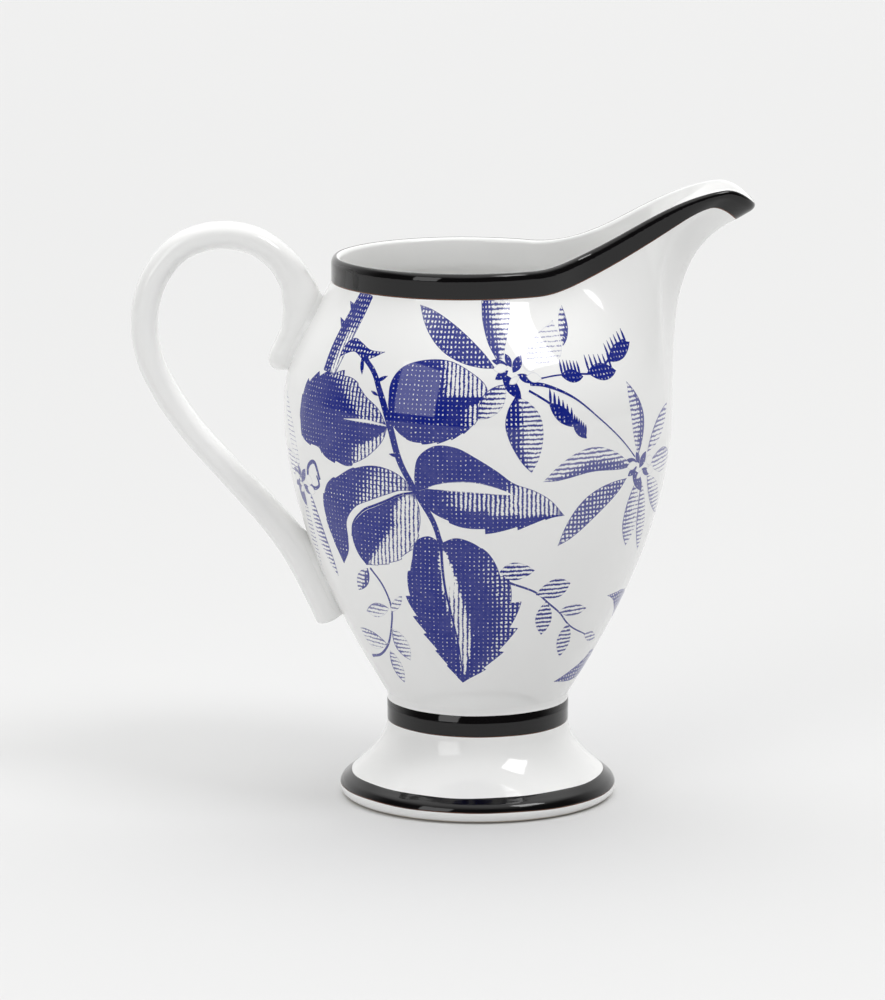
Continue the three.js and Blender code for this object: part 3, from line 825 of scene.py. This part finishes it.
def skin_of(jug, mark, lift, turn):
    """A blade as a thin closed skin in the bowl's surface: the outer side lies lift below the CAD
    surface, the inner side PRINT_BACK below it."""
    sheet = mark["sheet"]
    rows, columns, _ = sheet.shape
    both = lambda grid: np.concatenate([grid, grid[:, ::-1]], axis=1)
    outer, inner = (jug.from_sheet(sheet, depth, turn) for depth in (lift, PRINT_BACK))
    points = np.concatenate([outer, inner[:, ::-1]], axis=1).reshape(-1, 3)
    span = 2 * columns
    j = np.arange(columns - 1)
    cap = np.stack([j, j + 1, span - 2 - j, span - 1 - j], axis=1)
    quads = np.concatenate([wrapped_faces(rows, span), cap[:, ::-1], cap + (rows - 1) * span])
    layout = np.concatenate([both(sheet), both(mark["edge"])[..., None]], axis=-1)
    data = {"sheet": layout.reshape(-1, 3), "tone": both(mark["tone"]).reshape(-1, 3),
            "vein": both(mark["vein"]).ravel()}
    return facing_out(points, quads, np.zeros((0, 3), int), data)


# Ways of shading, as the weights of upright and level lines and the fading. u runs from base to tip, v
# from -1 at the left margin to 1 at the right one.


def lit(light, dark, pale, fade):
    """The weights of the dark places and of the light ones, mixed by light."""
    return mix(dark[0], pale[0], light), mix(dark[1], pale[1], light), fade


def dense(fade=0.0, upright=0.90, level=0.88):
    """An even dense field."""
    return lambda u, v: (upright, level, fade)


def cross_lit(dark, fade):
    """A petal: crossed lines on its dark side and at its base, level lines only on the other."""
    def shade(u, v):
        light = smooth(-dark * v + 0.9 * u, -0.15, 0.75)
        return lit(light, (0.80, 0.62), (-0.2, 0.42), fade + 0.15 * light)
    return shade


def hatched(weight, fade, dark=0):
    """Level lines only, heavier on one side."""
    return lambda u, v: (0.75 * smooth(dark * v, 0.3, 1.0) * abs(dark) - 0.3, weight + 0.2 * dark * v, fade)


def blank(fade):
    """White, with only its outline."""
    return lambda u, v: (-1.0, -1.0, fade)


def crossed(upright, level, fade=0.0, tip_fade=0.0):
    """Crossed lines that get thinner and paler towards the tip."""
    def shade(u, v):
        tip = smooth(u, 0.55, 1.0)
        return upright - 0.2 * tip, level - 0.12 * tip, fade + tip_fade * tip
    return shade


def back_leaf_shade(u, v):
    """Dense towards the tip; at the base light above the midrib, and below it a dense patch, then lines."""
    above = smooth(-v, 0.0, 0.08) * (1 - smooth(u + 0.35 * v, 0.12, 0.3))
    below = smooth(v, 0.50, 0.66) * (1 - smooth(u - 0.1 * v, 0.20, 0.34))
    return lit(np.maximum(above * 0.8, below), (0.90, 0.90), (0.42, 0.0), 0.05)


def round_leaf_shade(u, v):
    """Dense, but for upright lines at the tip, which a dark wedge along the midrib divides."""
    above = smooth(u, 0.50, 0.64) * smooth(-v, 0.02, 0.14)
    below = smooth(u, 0.66, 0.84) * smooth(v, 0.2, 0.4)
    return lit(np.maximum(above, below), (0.86, 0.83), (0.40, -0.1), 0.02)


def long_leaf_shade(u, v):
    """Dense above and along the lower margin, upright lines under the midrib and over the whole tip."""
    tip = smooth(u + 0.12 * v, 0.50, 0.66) * (1 - smooth(v, 0.50, 0.68))
    under = smooth(v, 0.0, 0.2) * (1 - smooth(v, 0.48, 0.66)) * smooth(u, 0.14, 0.36)
    return lit(np.maximum(tip, under * 0.8), (0.90, 0.88), (0.45, -0.3), 0.03 + 0.05 * tip)


def curled_leaf_shade(u, v):
    """The back of a curled leaf: upright lines at its base, dense towards its tip."""
    return lit(1 - smooth(u - 0.14 * v, 0.26, 0.5), (0.90, 0.88), (0.50, 0.22), 0.05)


def fold_shade(u, v):
    """The turned-over front of it: a dense patch beside its left edge, upright lines to the right."""
    light = np.maximum(smooth(v, 0.0, 0.4), 1 - smooth(u - 0.3 * v, 0.24, 0.46))
    return lit(light, (0.90, 0.88), (0.34, -0.3), 0.03)


def low_leaf_shade(u, v):
    """Dense, with a broad light band of upright lines along the midrib and a crossed right margin."""
    band = (1 - smooth(np.abs(v + 0.01), 0.10, 0.24)) * smooth(u, 0.02, 0.1)
    band = band * (1 - smooth(u, 0.86, 1.0) * 0.7)
    upright, level, _ = lit(smooth(v, 0.5, 0.8) * smooth(u, 0.15, 0.35), (0.90, 0.88), (0.64, 0.52), 0)
    return lit(band, (upright, level), (mix(-0.5, 0.34, smooth(u, 0.22, 0.42)), -0.4), 0.03)


def stalk_shade(u, v):
    """A round stalk: crossed lines, with light streaks low on its right side."""
    return lit(smooth(-v, -0.15, 0.25) * smooth(u, 0.3, 0.6), (0.72, 0.62), (0.22, -0.3), 0.03)


# How finely marks of each size are divided.
FINE = {"rows": 140, "columns": 49}
WIDE = {"rows": 80, "columns": 25}
NARROW = {"columns": 17}
SLIM = {"columns": 13}
SMALL = {"rows": 36, "columns": 13}
THREAD = {"rows": 60}


def leaf_marks(top):
    """The thorny stalk, which starts at top, the rachis and the five large leaves."""
    stalk = [strip([top, (-35.6, 106.2), (-36.1, 102.5), (-37.2, 94.6)], (2.8, 3.1, 2.9, 2.2), stalk_shade)]
    for thorn in ([(-36.4, 107.2), (-38.2, 107.5), (-40.4, 108.4)],
                  [(-36.6, 103.3), (-38.6, 103.9), (-41.2, 105.1)]):
        stalk.append(strip(thorn, (1.2, 0.6, 0.04), dense(), rows=24))
    rachis = [
        blade([(-34.6, 100.7), (-32.3, 101.9), (-29.7, 101.2), (-26.7, 100.1)],
              [(-35.4, 97.7), (-31.6, 100.5), (-27.5, 99.3), (-22.6, 99.9)],
              [(-34.0, 98.5), (-31.2, 99.3), (-27.6, 98.0), (-25.4, 98.6)], crossed(0.66, 0.6), **NARROW),
        petal((-28.4, 98.8), (-27.2, 95.2), 0.5, dense()),
        strip([(-27.8, 98.6), (-24.1, 95.8), (-21.9, 92.3), (-20.4, 89.3), (-18.8, 85.1), (-17.6, 80.8),
               (-16.4, 77.6), (-13.1, 71.9), (-9.4, 65.6), (-7.9, 60.8)],
              (0.45, 0.72, 0.62, 0.5), dense(0.02), rows=110),
        *petals(((-23.4, 94.0), (-20.6, 95.4), 0.4, dense()), ((-16.9, 79.3), (-19.1, 79.7), 0.35, dense()),
                ((-22.2, 91.4), (-24.0, 92.2), 0.3, dense())),
    ]
    back = [
        blade([(-21.7, 88.7), (-25.3, 91.2), (-27.6, 93.4), (-32.2, 95.6), (-37.2, 95.2), (-41.4, 94.2),
               (-45, 92.0), (-46.2, 88)],
              [(-19.5, 85.2), (-26.9, 85.6), (-32, 85.1), (-38, 85.3), (-46.4, 84.5)],
              [(-20.4, 82.6), (-22.2, 80.4), (-25.5, 77.8), (-29.5, 75.9), (-33.4, 76.2), (-36.9, 77.0),
               (-38.4, 78.6), (-42, 78.8), (-45.4, 80.0)],
              back_leaf_shade, teeth=(7, 0.12, 6, 0.07), **FINE),
        strip([(-19.8, 85.5), (-24.5, 86.0), (-30.5, 85.9)], (0.12, 0.34, 0.06), blank(0.5), rows=40),
        strip([(-22.0, 85.0), (-26, 85.3), (-31.4, 84.8)], (0.05, 0.26, 0.05), dense(), rows=40),
    ]
    rounded = [
        blade([(-19.5, 94.4), (-17.4, 97.3), (-12.7, 98.9), (-6.6, 98.9), (-1.8, 96.8), (1.3, 94.3)],
              [(-19.6, 89.8), (-9, 91.2), (2.0, 91.9)],
              [(-18.6, 86.2), (-15.6, 83.2), (-11.5, 82.1), (-6, 83.1), (-1.7, 85.7), (0.7, 88.9)],
              round_leaf_shade, teeth=(0, 0, 8, 0.045), **FINE)]
    long = [
        blade([(-13.5, 75.6), (-12.7, 79.4), (-9.3, 81.9), (-4.9, 81.7), (-0.6, 79.5), (3.7, 76.7),
               (7.0, 74.2), (11.4, 72.4), (14.9, 70.2)],
              [(-13.2, 72.2), (-9, 73.3), (-1, 73.4), (6, 72), (12, 69.6), (18.1, 66.6)],
              [(-12.7, 71.1), (-10.4, 68.4), (-7.1, 66.2), (-2.8, 64.2), (1.8, 63.3), (6.4, 63.7),
               (11.2, 65.0), (14.9, 66.2)],
              long_leaf_shade, teeth=(0, 0, 4, 0.12), vein=1.15, slit=(0.08, 0.62), **FINE)]
    folded = [
        blade([(-16.1, 74.9), (-19.1, 76.4), (-22.9, 76.9), (-27.6, 76.1), (-31.6, 74.3), (-36.6, 71.2),
               (-38.0, 67.2), (-37, 62.4), (-34.8, 58.0)],
              [(-13.5, 72.2), (-22, 72.2), (-29.4, 69), (-33, 62), (-32.3, 53.9)],
              [(-16.9, 72.0), (-19.9, 70.9), (-23.8, 69.3), (-27.7, 67.4), (-30.3, 64.0), (-30.2, 60),
               (-30.4, 57)], curled_leaf_shade, teeth=(6, 0.07, 0, 0), **FINE),
        blade([(-16.8, 70.9), (-19.8, 69.4), (-22.4, 68.1), (-25.2, 66.8), (-28.4, 63.6), (-28.9, 60.6),
               (-27.6, 57.2)], [(-13.4, 71.8), (-18, 67), (-22, 61.4), (-25.3, 54.7)],
              [(-12.3, 67.7), (-12.4, 63.1), (-13.3, 60.3), (-15.0, 58.4), (-17.0, 56.6), (-20.8, 55.2)],
              fold_shade, teeth=(0, 0, 6, 0.07), **FINE),
        strip([(-13.4, 72.0), (-16.8, 71.2), (-19.8, 69.7), (-22.6, 68.4), (-25.4, 67.1), (-28.5, 63.8),
               (-29.0, 60.8)], (0.2, 0.26, 0.12), dense(), **THREAD),
    ]
    low = [
        blade([(-10.5, 62.6), (-13.3, 61.3), (-14.2, 57.5), (-15.4, 53.2), (-15.7, 48.4), (-14.2, 44.2),
               (-12.2, 40.8), (-9.8, 37.2), (-6.4, 32.4)],
              [(-7.9, 61.2), (-7.0, 56), (-6, 51), (-4.5, 45.5), (-3.1, 38), (-3.3, 28.9)],
              [(-4.9, 62.4), (-1.7, 61.6), (1.6, 59.5), (4.4, 56.2), (7.3, 52.0), (8.9, 48.2), (8.8, 44.2),
               (7.6, 40.2), (5.3, 36.2), (1.2, 31.8)], low_leaf_shade, teeth=(7, 0.11, 6, 0.17), **FINE),
        strip([(-7.9, 61.2), (-7.6, 56), (-7.0, 51), (-5.8, 45.5), (-4.2, 38), (-3.4, 32)],
              (0.3, 0.22, 0.1), dense(), **THREAD),
    ]
    return {"stalk": stalk, "rachis": rachis, "leaf_back": back, "leaf_round": rounded, "leaf_long": long,
            "leaf_folded": folded, "leaf_low": low}


def hub(x, z, fade):
    """The heart of a flower: short dark wedges and a few white cells between them."""
    wedges = ((-1.2, 0.4, -4.2, -1.2, 0.8), (-2.6, -0.2, 1.2, -5.2, 1.3), (-0.2, 0.0, 2.2, 3.2, 1.0),
              (-0.4, 1.0, -1.6, 3.6, 0.7), (0.8, -0.4, 4.2, -2.0, 0.8), (-1.2, 1.4, -4.8, 2.4, 0.6))
    cells = ((-4.6, 0.7, -1.2, 1.0, 0.9), (-1.2, -2.2, 1.2, -0.8, 0.7), (2.2, 1.4, 5.4, 0.8, 1.1),
             (2.8, -0.8, 6.2, -1.4, 1.0))
    kinds = (wedges, dense(fade)), (cells, blank(fade + 0.4))
    return [petal((x + a, z + b), (x + c, z + d), width, shade, **SMALL)
            for rows, shade in kinds for a, b, c, d, width in rows]


def flower_marks():
    """The flower at the front, the one beside the lip, and the pale one under the handle."""
    front = [
        petal((3.6, 97.4), (-16.2, 109.3), 2.8, crossed(0.66, 0.62, 0.0, 0.4), 0.03, **WIDE),
        ribbed([(4.7, 99.2), (4.3, 102.6), (4.4, 106.5), (4.8, 110.5)], (0.8, 2.5, 3.7, 4.2),
               cross_lit(-1, 0.05), **WIDE),
        blade([(11.4, 100.6), (14.9, 103.5)], [(11, 98.6), (16, 101.6), (20.8, 105.8)],
              [(15, 98), (19.8, 99.2), (21.2, 102.6)], hatched(0.14, 0.85), columns=21),
        petal((21.3, 101.0), (25.8, 108.4), 1.3, cross_lit(1, 0.1), **NARROW),
        petal((7.7, 92.2), (10.8, 76.2), 3.9, cross_lit(1, 0.02), 0.02, 0.38, **WIDE),
        petal((5.6, 94.4), (-0.3, 87.4), 2.3, hatched(0.42, 0.1, 1), **NARROW),
        *hub(7.6, 96.6, 0.0),
    ]
    beside_lip = petals(
        ((36.2, 75.3), (13.2, 74.2), 2.6, cross_lit(-1, 0.3), -0.14),
        ((34.6, 72.8), (16.7, 60.0), 2.5, crossed(0.52, 0.52, 0.25), -0.08),
        ((38.4, 77.2), (36.2, 92.8), 2.2, cross_lit(1, 0.35), -0.05), **WIDE)
    beside_lip += petals(
        ((38.0, 71.6), (36.2, 57.4), 2.7, hatched(0.40, 0.5, 1), 0.0, 0.6),
        ((40.2, 71.4), (43.0, 55.0), 2.0, hatched(0.36, 0.55, 1), 0.0, 0.6),
        ((42.0, 77.4), (52.5, 86.2), 2.2, hatched(0.40, 0.5, -1)),
        ((43.2, 74.8), (57.6, 74.0), 2.7, hatched(0.36, 0.55, -1)),
        ((42.4, 72.2), (53.0, 62.0), 2.5, hatched(0.36, 0.55, 1)), **NARROW)
    under_handle = petals(
        ((-47.4, 72.4), (-56.4, 88.2), 2.0, hatched(0.1, 0.6)),
        ((-46.4, 69.6), (-57.2, 76.4), 2.2, hatched(0.25, 0.5)),
        ((-43.2, 68.4), (-35.2, 50.4), 1.8, hatched(0.40, 0.3, -1), -0.05),
        ((-46.8, 67.2), (-44.2, 50.6), 1.7, hatched(0.2, 0.5)), **SLIM)
    curl = [(-38.6, 71.8), (-40.6, 75.4), (-43.2, 74.0), (-43.4, 71.0), (-41.2, 69.6), (-39.0, 70.6),
            (-39.8, 72.6)]
    under_handle += [strip(curl, (0.3, 0.45, 0.45, 0.2), dense(0.2), **THREAD), *hub(-47.0, 70.0, 0.5)]
    beside_lip += hub(39.2, 74.4, 0.3)
    return {"flower_front": front, "flower_lip": beside_lip, "flower_handle": under_handle}


def bud(base, tip, half_width):
    """A bud: a dark oval with upright hairs above it."""
    base, tip = np.array(base, float), np.array(tip, float)
    roots = [base + (tip - base) * share for share in (0.06, 0.22, 0.38, 0.54, 0.7, 0.86)]
    top = (0.2, half_width + 1.7)
    hairs = [petal(root - (0, 0.4), root + top, 0.3, dense(0.0, 1.0, 1.0), rows=14, columns=5)
             for root in roots]
    return [petal(base, tip, half_width, dense(0.0, 0.80, 0.70), **SMALL), *hairs]


def sprig_marks():
    """The buds beside the front flower, the stem to the other flower, and the two low sprigs."""
    buds = [
        strip([(13.4, 95.2), (17.2, 95.6), (22, 95.6), (28, 95.4), (33.6, 97.8), (40, 100.8)],
              (0.13, 0.2, 0.25), dense(), **THREAD),
        *bud((18.6, 95.6), (24.2, 94.9), 1.3), *bud((25.6, 95.6), (34.0, 95.2), 1.7),
        *bud((32.8, 97.2), (41.4, 100.2), 1.5),
        strip([(10.6, 93.0), (13.0, 91.6), (15.6, 89.8), (22.2, 83.4)],
              (0.22, 0.25, 0.25), dense(), **THREAD),
        *bud((14.8, 90.4), (20.4, 85.2), 1.5), *bud((20.0, 85.4), (23.2, 82.6), 0.8),
        strip([(11.0, 94.4), (14.6, 93.8), (20.5, 91.2), (27, 86), (33, 81), (37.2, 77.0)],
              (0.4, 0.15, 0.12), dense(0.05), **THREAD),
    ]
    left = [
        strip([(-24.4, 54.2), (-21.3, 50.6), (-19.3, 45.8), (-19.4, 41.6), (-20.9, 36.2), (-23.6, 33.4),
               (-27.4, 32.2)], (0.2, 0.22, 0.36), dense(0.2), **THREAD),
        *petals(((-25.0, 54.0), (-28.2, 48.4), 1.7, cross_lit(-1, 0.2)),
                ((-19.8, 45.2), (-26.4, 43.6), 1.7, hatched(0.3, 0.5, 1)),
                ((-21.0, 36.3), (-29.8, 38.8), 2.1, hatched(0.3, 0.4, 1), 0.1),
                ((-19.4, 44.4), (-16.6, 48.6), 1.0, hatched(0.3, 0.4)),
                ((-19.2, 40.6), (-15.0, 33.4), 1.8, hatched(0.3, 0.4, 1)),
                ((-20.4, 35.0), (-17.0, 27.4), 1.5, hatched(0.35, 0.4, 1)), **SMALL),
    ]
    right = [
        strip([(6.2, 52.4), (12, 49.8), (15, 47), (17.8, 44.4), (19.6, 42), (21.4, 40.4), (26.6, 37.6)],
              (0.24, 0.2, 0.14), dense(0.1), **THREAD),
        *petals(((4.2, 54.9), (11.6, 54.9), 2.0, hatched(0.5, 0.0), 0.0, 0.4),
                ((12.0, 49.3), (20.0, 51.2), 2.2, hatched(0.5, 0.05), 0.0, 0.6),
                ((14.4, 47.5), (13.4, 39.8), 1.9, hatched(0.5, 0.05)),
                ((17.4, 44.8), (24.9, 44.6), 1.4, hatched(0.44, 0.15)),
                ((20.0, 41.6), (18.4, 33.8), 1.8, hatched(0.46, 0.15)),
                ((25.4, 38.0), (30.4, 36.2), 1.2, hatched(0.4, 0.3)), **SMALL),
    ]
    lip_leaves = [blade(*lines, crossed(0.7, 0.62, 0.2), teeth=(4, 0.1, 4, 0.1), **NARROW) for lines in (
        ([(36, 46.4), (41, 46.2), (45, 43.6)], [(32.0, 46.3), (38, 44), (45.6, 39.4)],
         [(34.8, 44.8), (37.4, 42), (40.4, 38.6)]),
        ([(22.1, 29.1), (27.4, 31.1), (32, 33.0)], [(17.7, 27.5), (25, 28.6), (34.4, 31)],
         [(22.3, 26.7), (27, 26.6), (31.6, 28.4)]),
    )]
    return {"buds": buds, "sprig_left": left, "sprig_right": right, "lip_leaves": lip_leaves}


# --- operators ----------------------------------------------------------------------------------------


def jug_and_looks(context):
    """The jug's shape at the sizes that are set, and its looks."""
    return JugShape(context.scene.creamjug_sizes), context.scene.creamjug_looks


def lay_print(context, front, reverse):
    """Lays two sets of groups of marks, the second half a turn further round. Each group becomes one
    piece, in which later marks lie a hair higher."""
    jug, looks = jug_and_looks(context)
    ink = material_once("jug_print", cobalt_print, looks)
    for groups, turn, ending in ((front, 0.0, ""), (reverse, math.pi, "_reverse")):
        for name, marks in groups.items():
            depths = np.linspace(FIRST_MARK, LAST_MARK, len(marks)) if len(marks) > 1 else [LONE_MARK]
            parts = [skin_of(jug, mark, depth, turn) for mark, depth in zip(marks, depths)]
            make_piece(f"print_{name}{ending}", parts, ink, crease=30.0)


class CREAMJUG_OT_bowl(Operator):
    """Make the glazed bowl with its pouring lip"""

    bl_idname = "creamjug.bowl"
    bl_label = "Bowl"

    def execute(self, context):
        jug, looks = jug_and_looks(context)
        glaze = material_once("jug_glaze", porcelain, looks)
        make_piece("glazed_bowl", [bowl_surface(jug)], glaze, ["bowl"])
        return {"FINISHED"}


class CREAMJUG_OT_foot(Operator):
    """Make the hollow foot with its bare standing ring"""

    bl_idname = "creamjug.foot"
    bl_label = "Foot"

    def execute(self, context):
        jug, looks = jug_and_looks(context)
        glaze = material_once("glazed_foot", foot_porcelain, looks)
        make_piece("glazed_foot", [foot_surface(jug)], glaze, ["foot"])
        return {"FINISHED"}


class CREAMJUG_OT_handle(Operator):
    """Make the strap handle"""

    bl_idname = "creamjug.handle"
    bl_label = "Handle"

    def execute(self, context):
        jug, looks = jug_and_looks(context)
        glaze = material_once("jug_glaze", porcelain, looks)
        strap = handle_surface(jug)
        make_piece("glazed_handle", [strap], glaze, ["handle"], crease=60.0)
        return {"FINISHED"}


class CREAMJUG_OT_lutes(Operator):
    """Make the slip that joins foot and handle to the bowl"""

    bl_idname = "creamjug.lutes"
    bl_label = "Slip Joins"

    def execute(self, context):
        jug, looks = jug_and_looks(context)
        pooled = material_once("jug_slip", slip, looks)
        for name, surface, node in (
            ("slip_foot", foot_lute_surface(jug), "foot_lute"),
            ("slip_handle_top", lute_surface(jug, 0.0, 0.33), "handle_upper_lute"),
            ("slip_handle_low", lute_surface(jug, 0.76, 1.0), "handle_lower_lute"),
        ):
            make_piece(name, [surface], pooled, [node], crease=60.0)
        return {"FINISHED"}


class CREAMJUG_OT_bands(Operator):
    """Make the three fired enamel bands"""

    bl_idname = "creamjug.bands"
    bl_label = "Enamel Bands"

    def execute(self, context):
        jug, looks = jug_and_looks(context)
        black = material_once("jug_enamel", enamel, looks)
        stem_band = side_band_surface(jug, stem_low[2] / MM, stem_high[2] / MM, 0.05, 0.42)
        foot_band = side_band_surface(jug, foot_low[2] / MM, foot_high[2] / MM, 0.13)
        make_piece("enamel_rim", [rim_band_surface(jug)], black, ["rim_band"])
        make_piece("enamel_stem", [stem_band], black, ["stem_band"])
        make_piece("enamel_foot", [foot_band], black, ["foot_band"])
        return {"FINISHED"}


class CREAMJUG_OT_print_leaves(Operator):
    """Lay the stalk and the large leaves of the print on both sides"""

    bl_idname = "creamjug.print_leaves"
    bl_label = "Printed Leaves"

    def execute(self, context):
        lay_print(context, leaf_marks((-34.7, 110.5)), leaf_marks((-33.8, 113.6)))
        return {"FINISHED"}


class CREAMJUG_OT_print_flowers(Operator):
    """Lay the flowers of the print"""

    bl_idname = "creamjug.print_flowers"
    bl_label = "Printed Flowers"

    def execute(self, context):
        marks = flower_marks()
        lay_print(context, marks, {"flower_front": marks["flower_front"]})
        return {"FINISHED"}


class CREAMJUG_OT_print_sprigs(Operator):
    """Lay the buds and small sprigs of the print"""

    bl_idname = "creamjug.print_sprigs"
    bl_label = "Printed Sprigs"

    def execute(self, context):
        marks = sprig_marks()
        lay_print(context, marks, {name: marks[name] for name in ("sprig_left", "sprig_right")})
        return {"FINISHED"}


LOOKED_AT = (0, 0, 0.06333)
CAMERA_PLACE = (0, -1.030, 0.256)
CAMERA_LENS = 178.3
LAMP_DISTANCE = 3.2
LIT_HEIGHT = 0.085
FLOOR_HALF, FLOOR_BACK, FLOOR_SQUARES = 5, 2, 10  # half its width, how far it is set back, and its grid


def area_light(name, azimuth, elevation, width, height, radiance):
    """A softbox at an azimuth from the front, positive to the right, and an elevation, in degrees. Its
    power is radiance times pi times its area."""
    az, el = math.radians(azimuth), math.radians(elevation)
    data = bpy.data.lights.new(name, "AREA")
    data.shape, data.size, data.size_y = "RECTANGLE", width, height
    data.energy = radiance * math.pi * width * height
    lamp = bpy.data.objects.new(name, data)
    away = Vector((math.sin(az) * math.cos(el), -math.cos(az) * math.cos(el), math.sin(el)))
    lamp.location = Vector((AXIS_X, 0, LIT_HEIGHT)) + away * LAMP_DISTANCE
    lamp.rotation_euler = away.to_track_quat("Z", "Y").to_euler()
    bpy.context.collection.objects.link(lamp)


class CREAMJUG_OT_stage(Operator):
    """Set the pale floor, the soft studio light and the camera"""

    bl_idname = "creamjug.stage"
    bl_label = "Stage"

    def execute(self, context):
        scene, looks = context.scene, context.scene.creamjug_looks
        paper = bpy.data.materials.new("pale_floor")
        shader = Shader(paper)
        _, back, _ = shader.split(shader.place())
        tint = (shader.noise(shader.place(), 1.2) * 0.6 + 0.5).clamped()
        shader.finish(Base_Color=shader.blend(tint, grey(0.66), grey(0.68)), Roughness=0.8,
                      Specular_IOR_Level=0.1, Emission_Strength=looks.table_glow,
                      Emission_Color=shader.blend(back.rising(0.0, 2.6), grey(0.25), grey(1)))
        side = np.linspace(-FLOOR_HALF, FLOOR_HALF, FLOOR_SQUARES + 1)
        x, y = np.meshgrid(side, side + FLOOR_BACK)
        points = np.stack([x, y, np.zeros_like(x)], axis=-1).reshape(-1, 3)
        row, column = np.mgrid[:FLOOR_SQUARES, :FLOOR_SQUARES]
        first = (row * len(side) + column).ravel()
        faces = np.stack([first, first + 1, first + len(side) + 1, first + len(side)], axis=1)
        mesh = bpy.data.meshes.new("floor")
        mesh.from_pydata(points.tolist(), [], faces.tolist())
        mesh.materials.append(paper)
        floor = bpy.data.objects.new("floor", mesh)
        context.collection.objects.link(floor)

        scene.world = bpy.data.worlds.new("surround")
        air = Shader(scene.world, "Background")
        _, depth, height = air.split(air.place("Generated"))
        behind = depth.rising(looks.dark_front, looks.dark_front + 0.9)
        above = height.rising(0.55, 0.9) * looks.overhead
        glow = behind * (looks.surround - looks.room) + above + looks.room
        air.finish(Color=(1.0, 1.0, 0.995, 1), Strength=glow)
        area_light("softbox_right", 58, 52, 1.15, 0.90, looks.softbox * 3.3)
        area_light("softbox_left", -38, 22, 1.45, 1.95, looks.softbox)

        view = bpy.data.cameras.new("camera")
        view.lens, view.sensor_width = CAMERA_LENS, 36
        view.clip_start, view.clip_end = 0.05, 50
        camera = bpy.data.objects.new("camera", view)
        camera.location = CAMERA_PLACE
        aim = Vector(LOOKED_AT) - camera.location
        camera.rotation_euler = aim.to_track_quat("-Z", "Y").to_euler()
        context.collection.objects.link(camera)
        scene.camera = camera
        tones = scene.view_settings
        tones.view_transform, tones.look, tones.exposure, tones.gamma = "Standard", "None", 0, 1
        return {"FINISHED"}


class CREAMJUG_PT_panel(Panel):
    """Sizes, looks and the steps that make the jug, in order"""

    bl_label = "Cream Jug"
    bl_idname = "CREAMJUG_PT_panel"
    bl_space_type = "VIEW_3D"
    bl_region_type = "UI"
    bl_category = "Cream Jug"

    def draw(self, context):
        layout = self.layout
        for step in STEPS:
            layout.operator(step.bl_idname)
        for group in (context.scene.creamjug_sizes, context.scene.creamjug_looks):
            box = layout.box()
            for name in group.__annotations__:
                box.prop(group, name)


STEPS = (
    CREAMJUG_OT_stage, CREAMJUG_OT_bowl, CREAMJUG_OT_foot, CREAMJUG_OT_handle, CREAMJUG_OT_lutes,
    CREAMJUG_OT_bands, CREAMJUG_OT_print_leaves, CREAMJUG_OT_print_flowers, CREAMJUG_OT_print_sprigs,
)
CLASSES = (CREAMJUG_PG_sizes, CREAMJUG_PG_looks, *STEPS, CREAMJUG_PT_panel)


def register():
    for item in CLASSES:
        bpy.utils.register_class(item)
    bpy.types.Scene.creamjug_sizes = PointerProperty(type=CREAMJUG_PG_sizes)
    bpy.types.Scene.creamjug_looks = PointerProperty(type=CREAMJUG_PG_looks)


def unregister():
    del bpy.types.Scene.creamjug_sizes
    del bpy.types.Scene.creamjug_looks
    for item in reversed(CLASSES):
        bpy.utils.unregister_class(item)


def main():
    register()
    for step in STEPS:
        group, name = step.bl_idname.split(".")
        getattr(getattr(bpy.ops, group), name)()


if __name__ == "__main__":
    main()
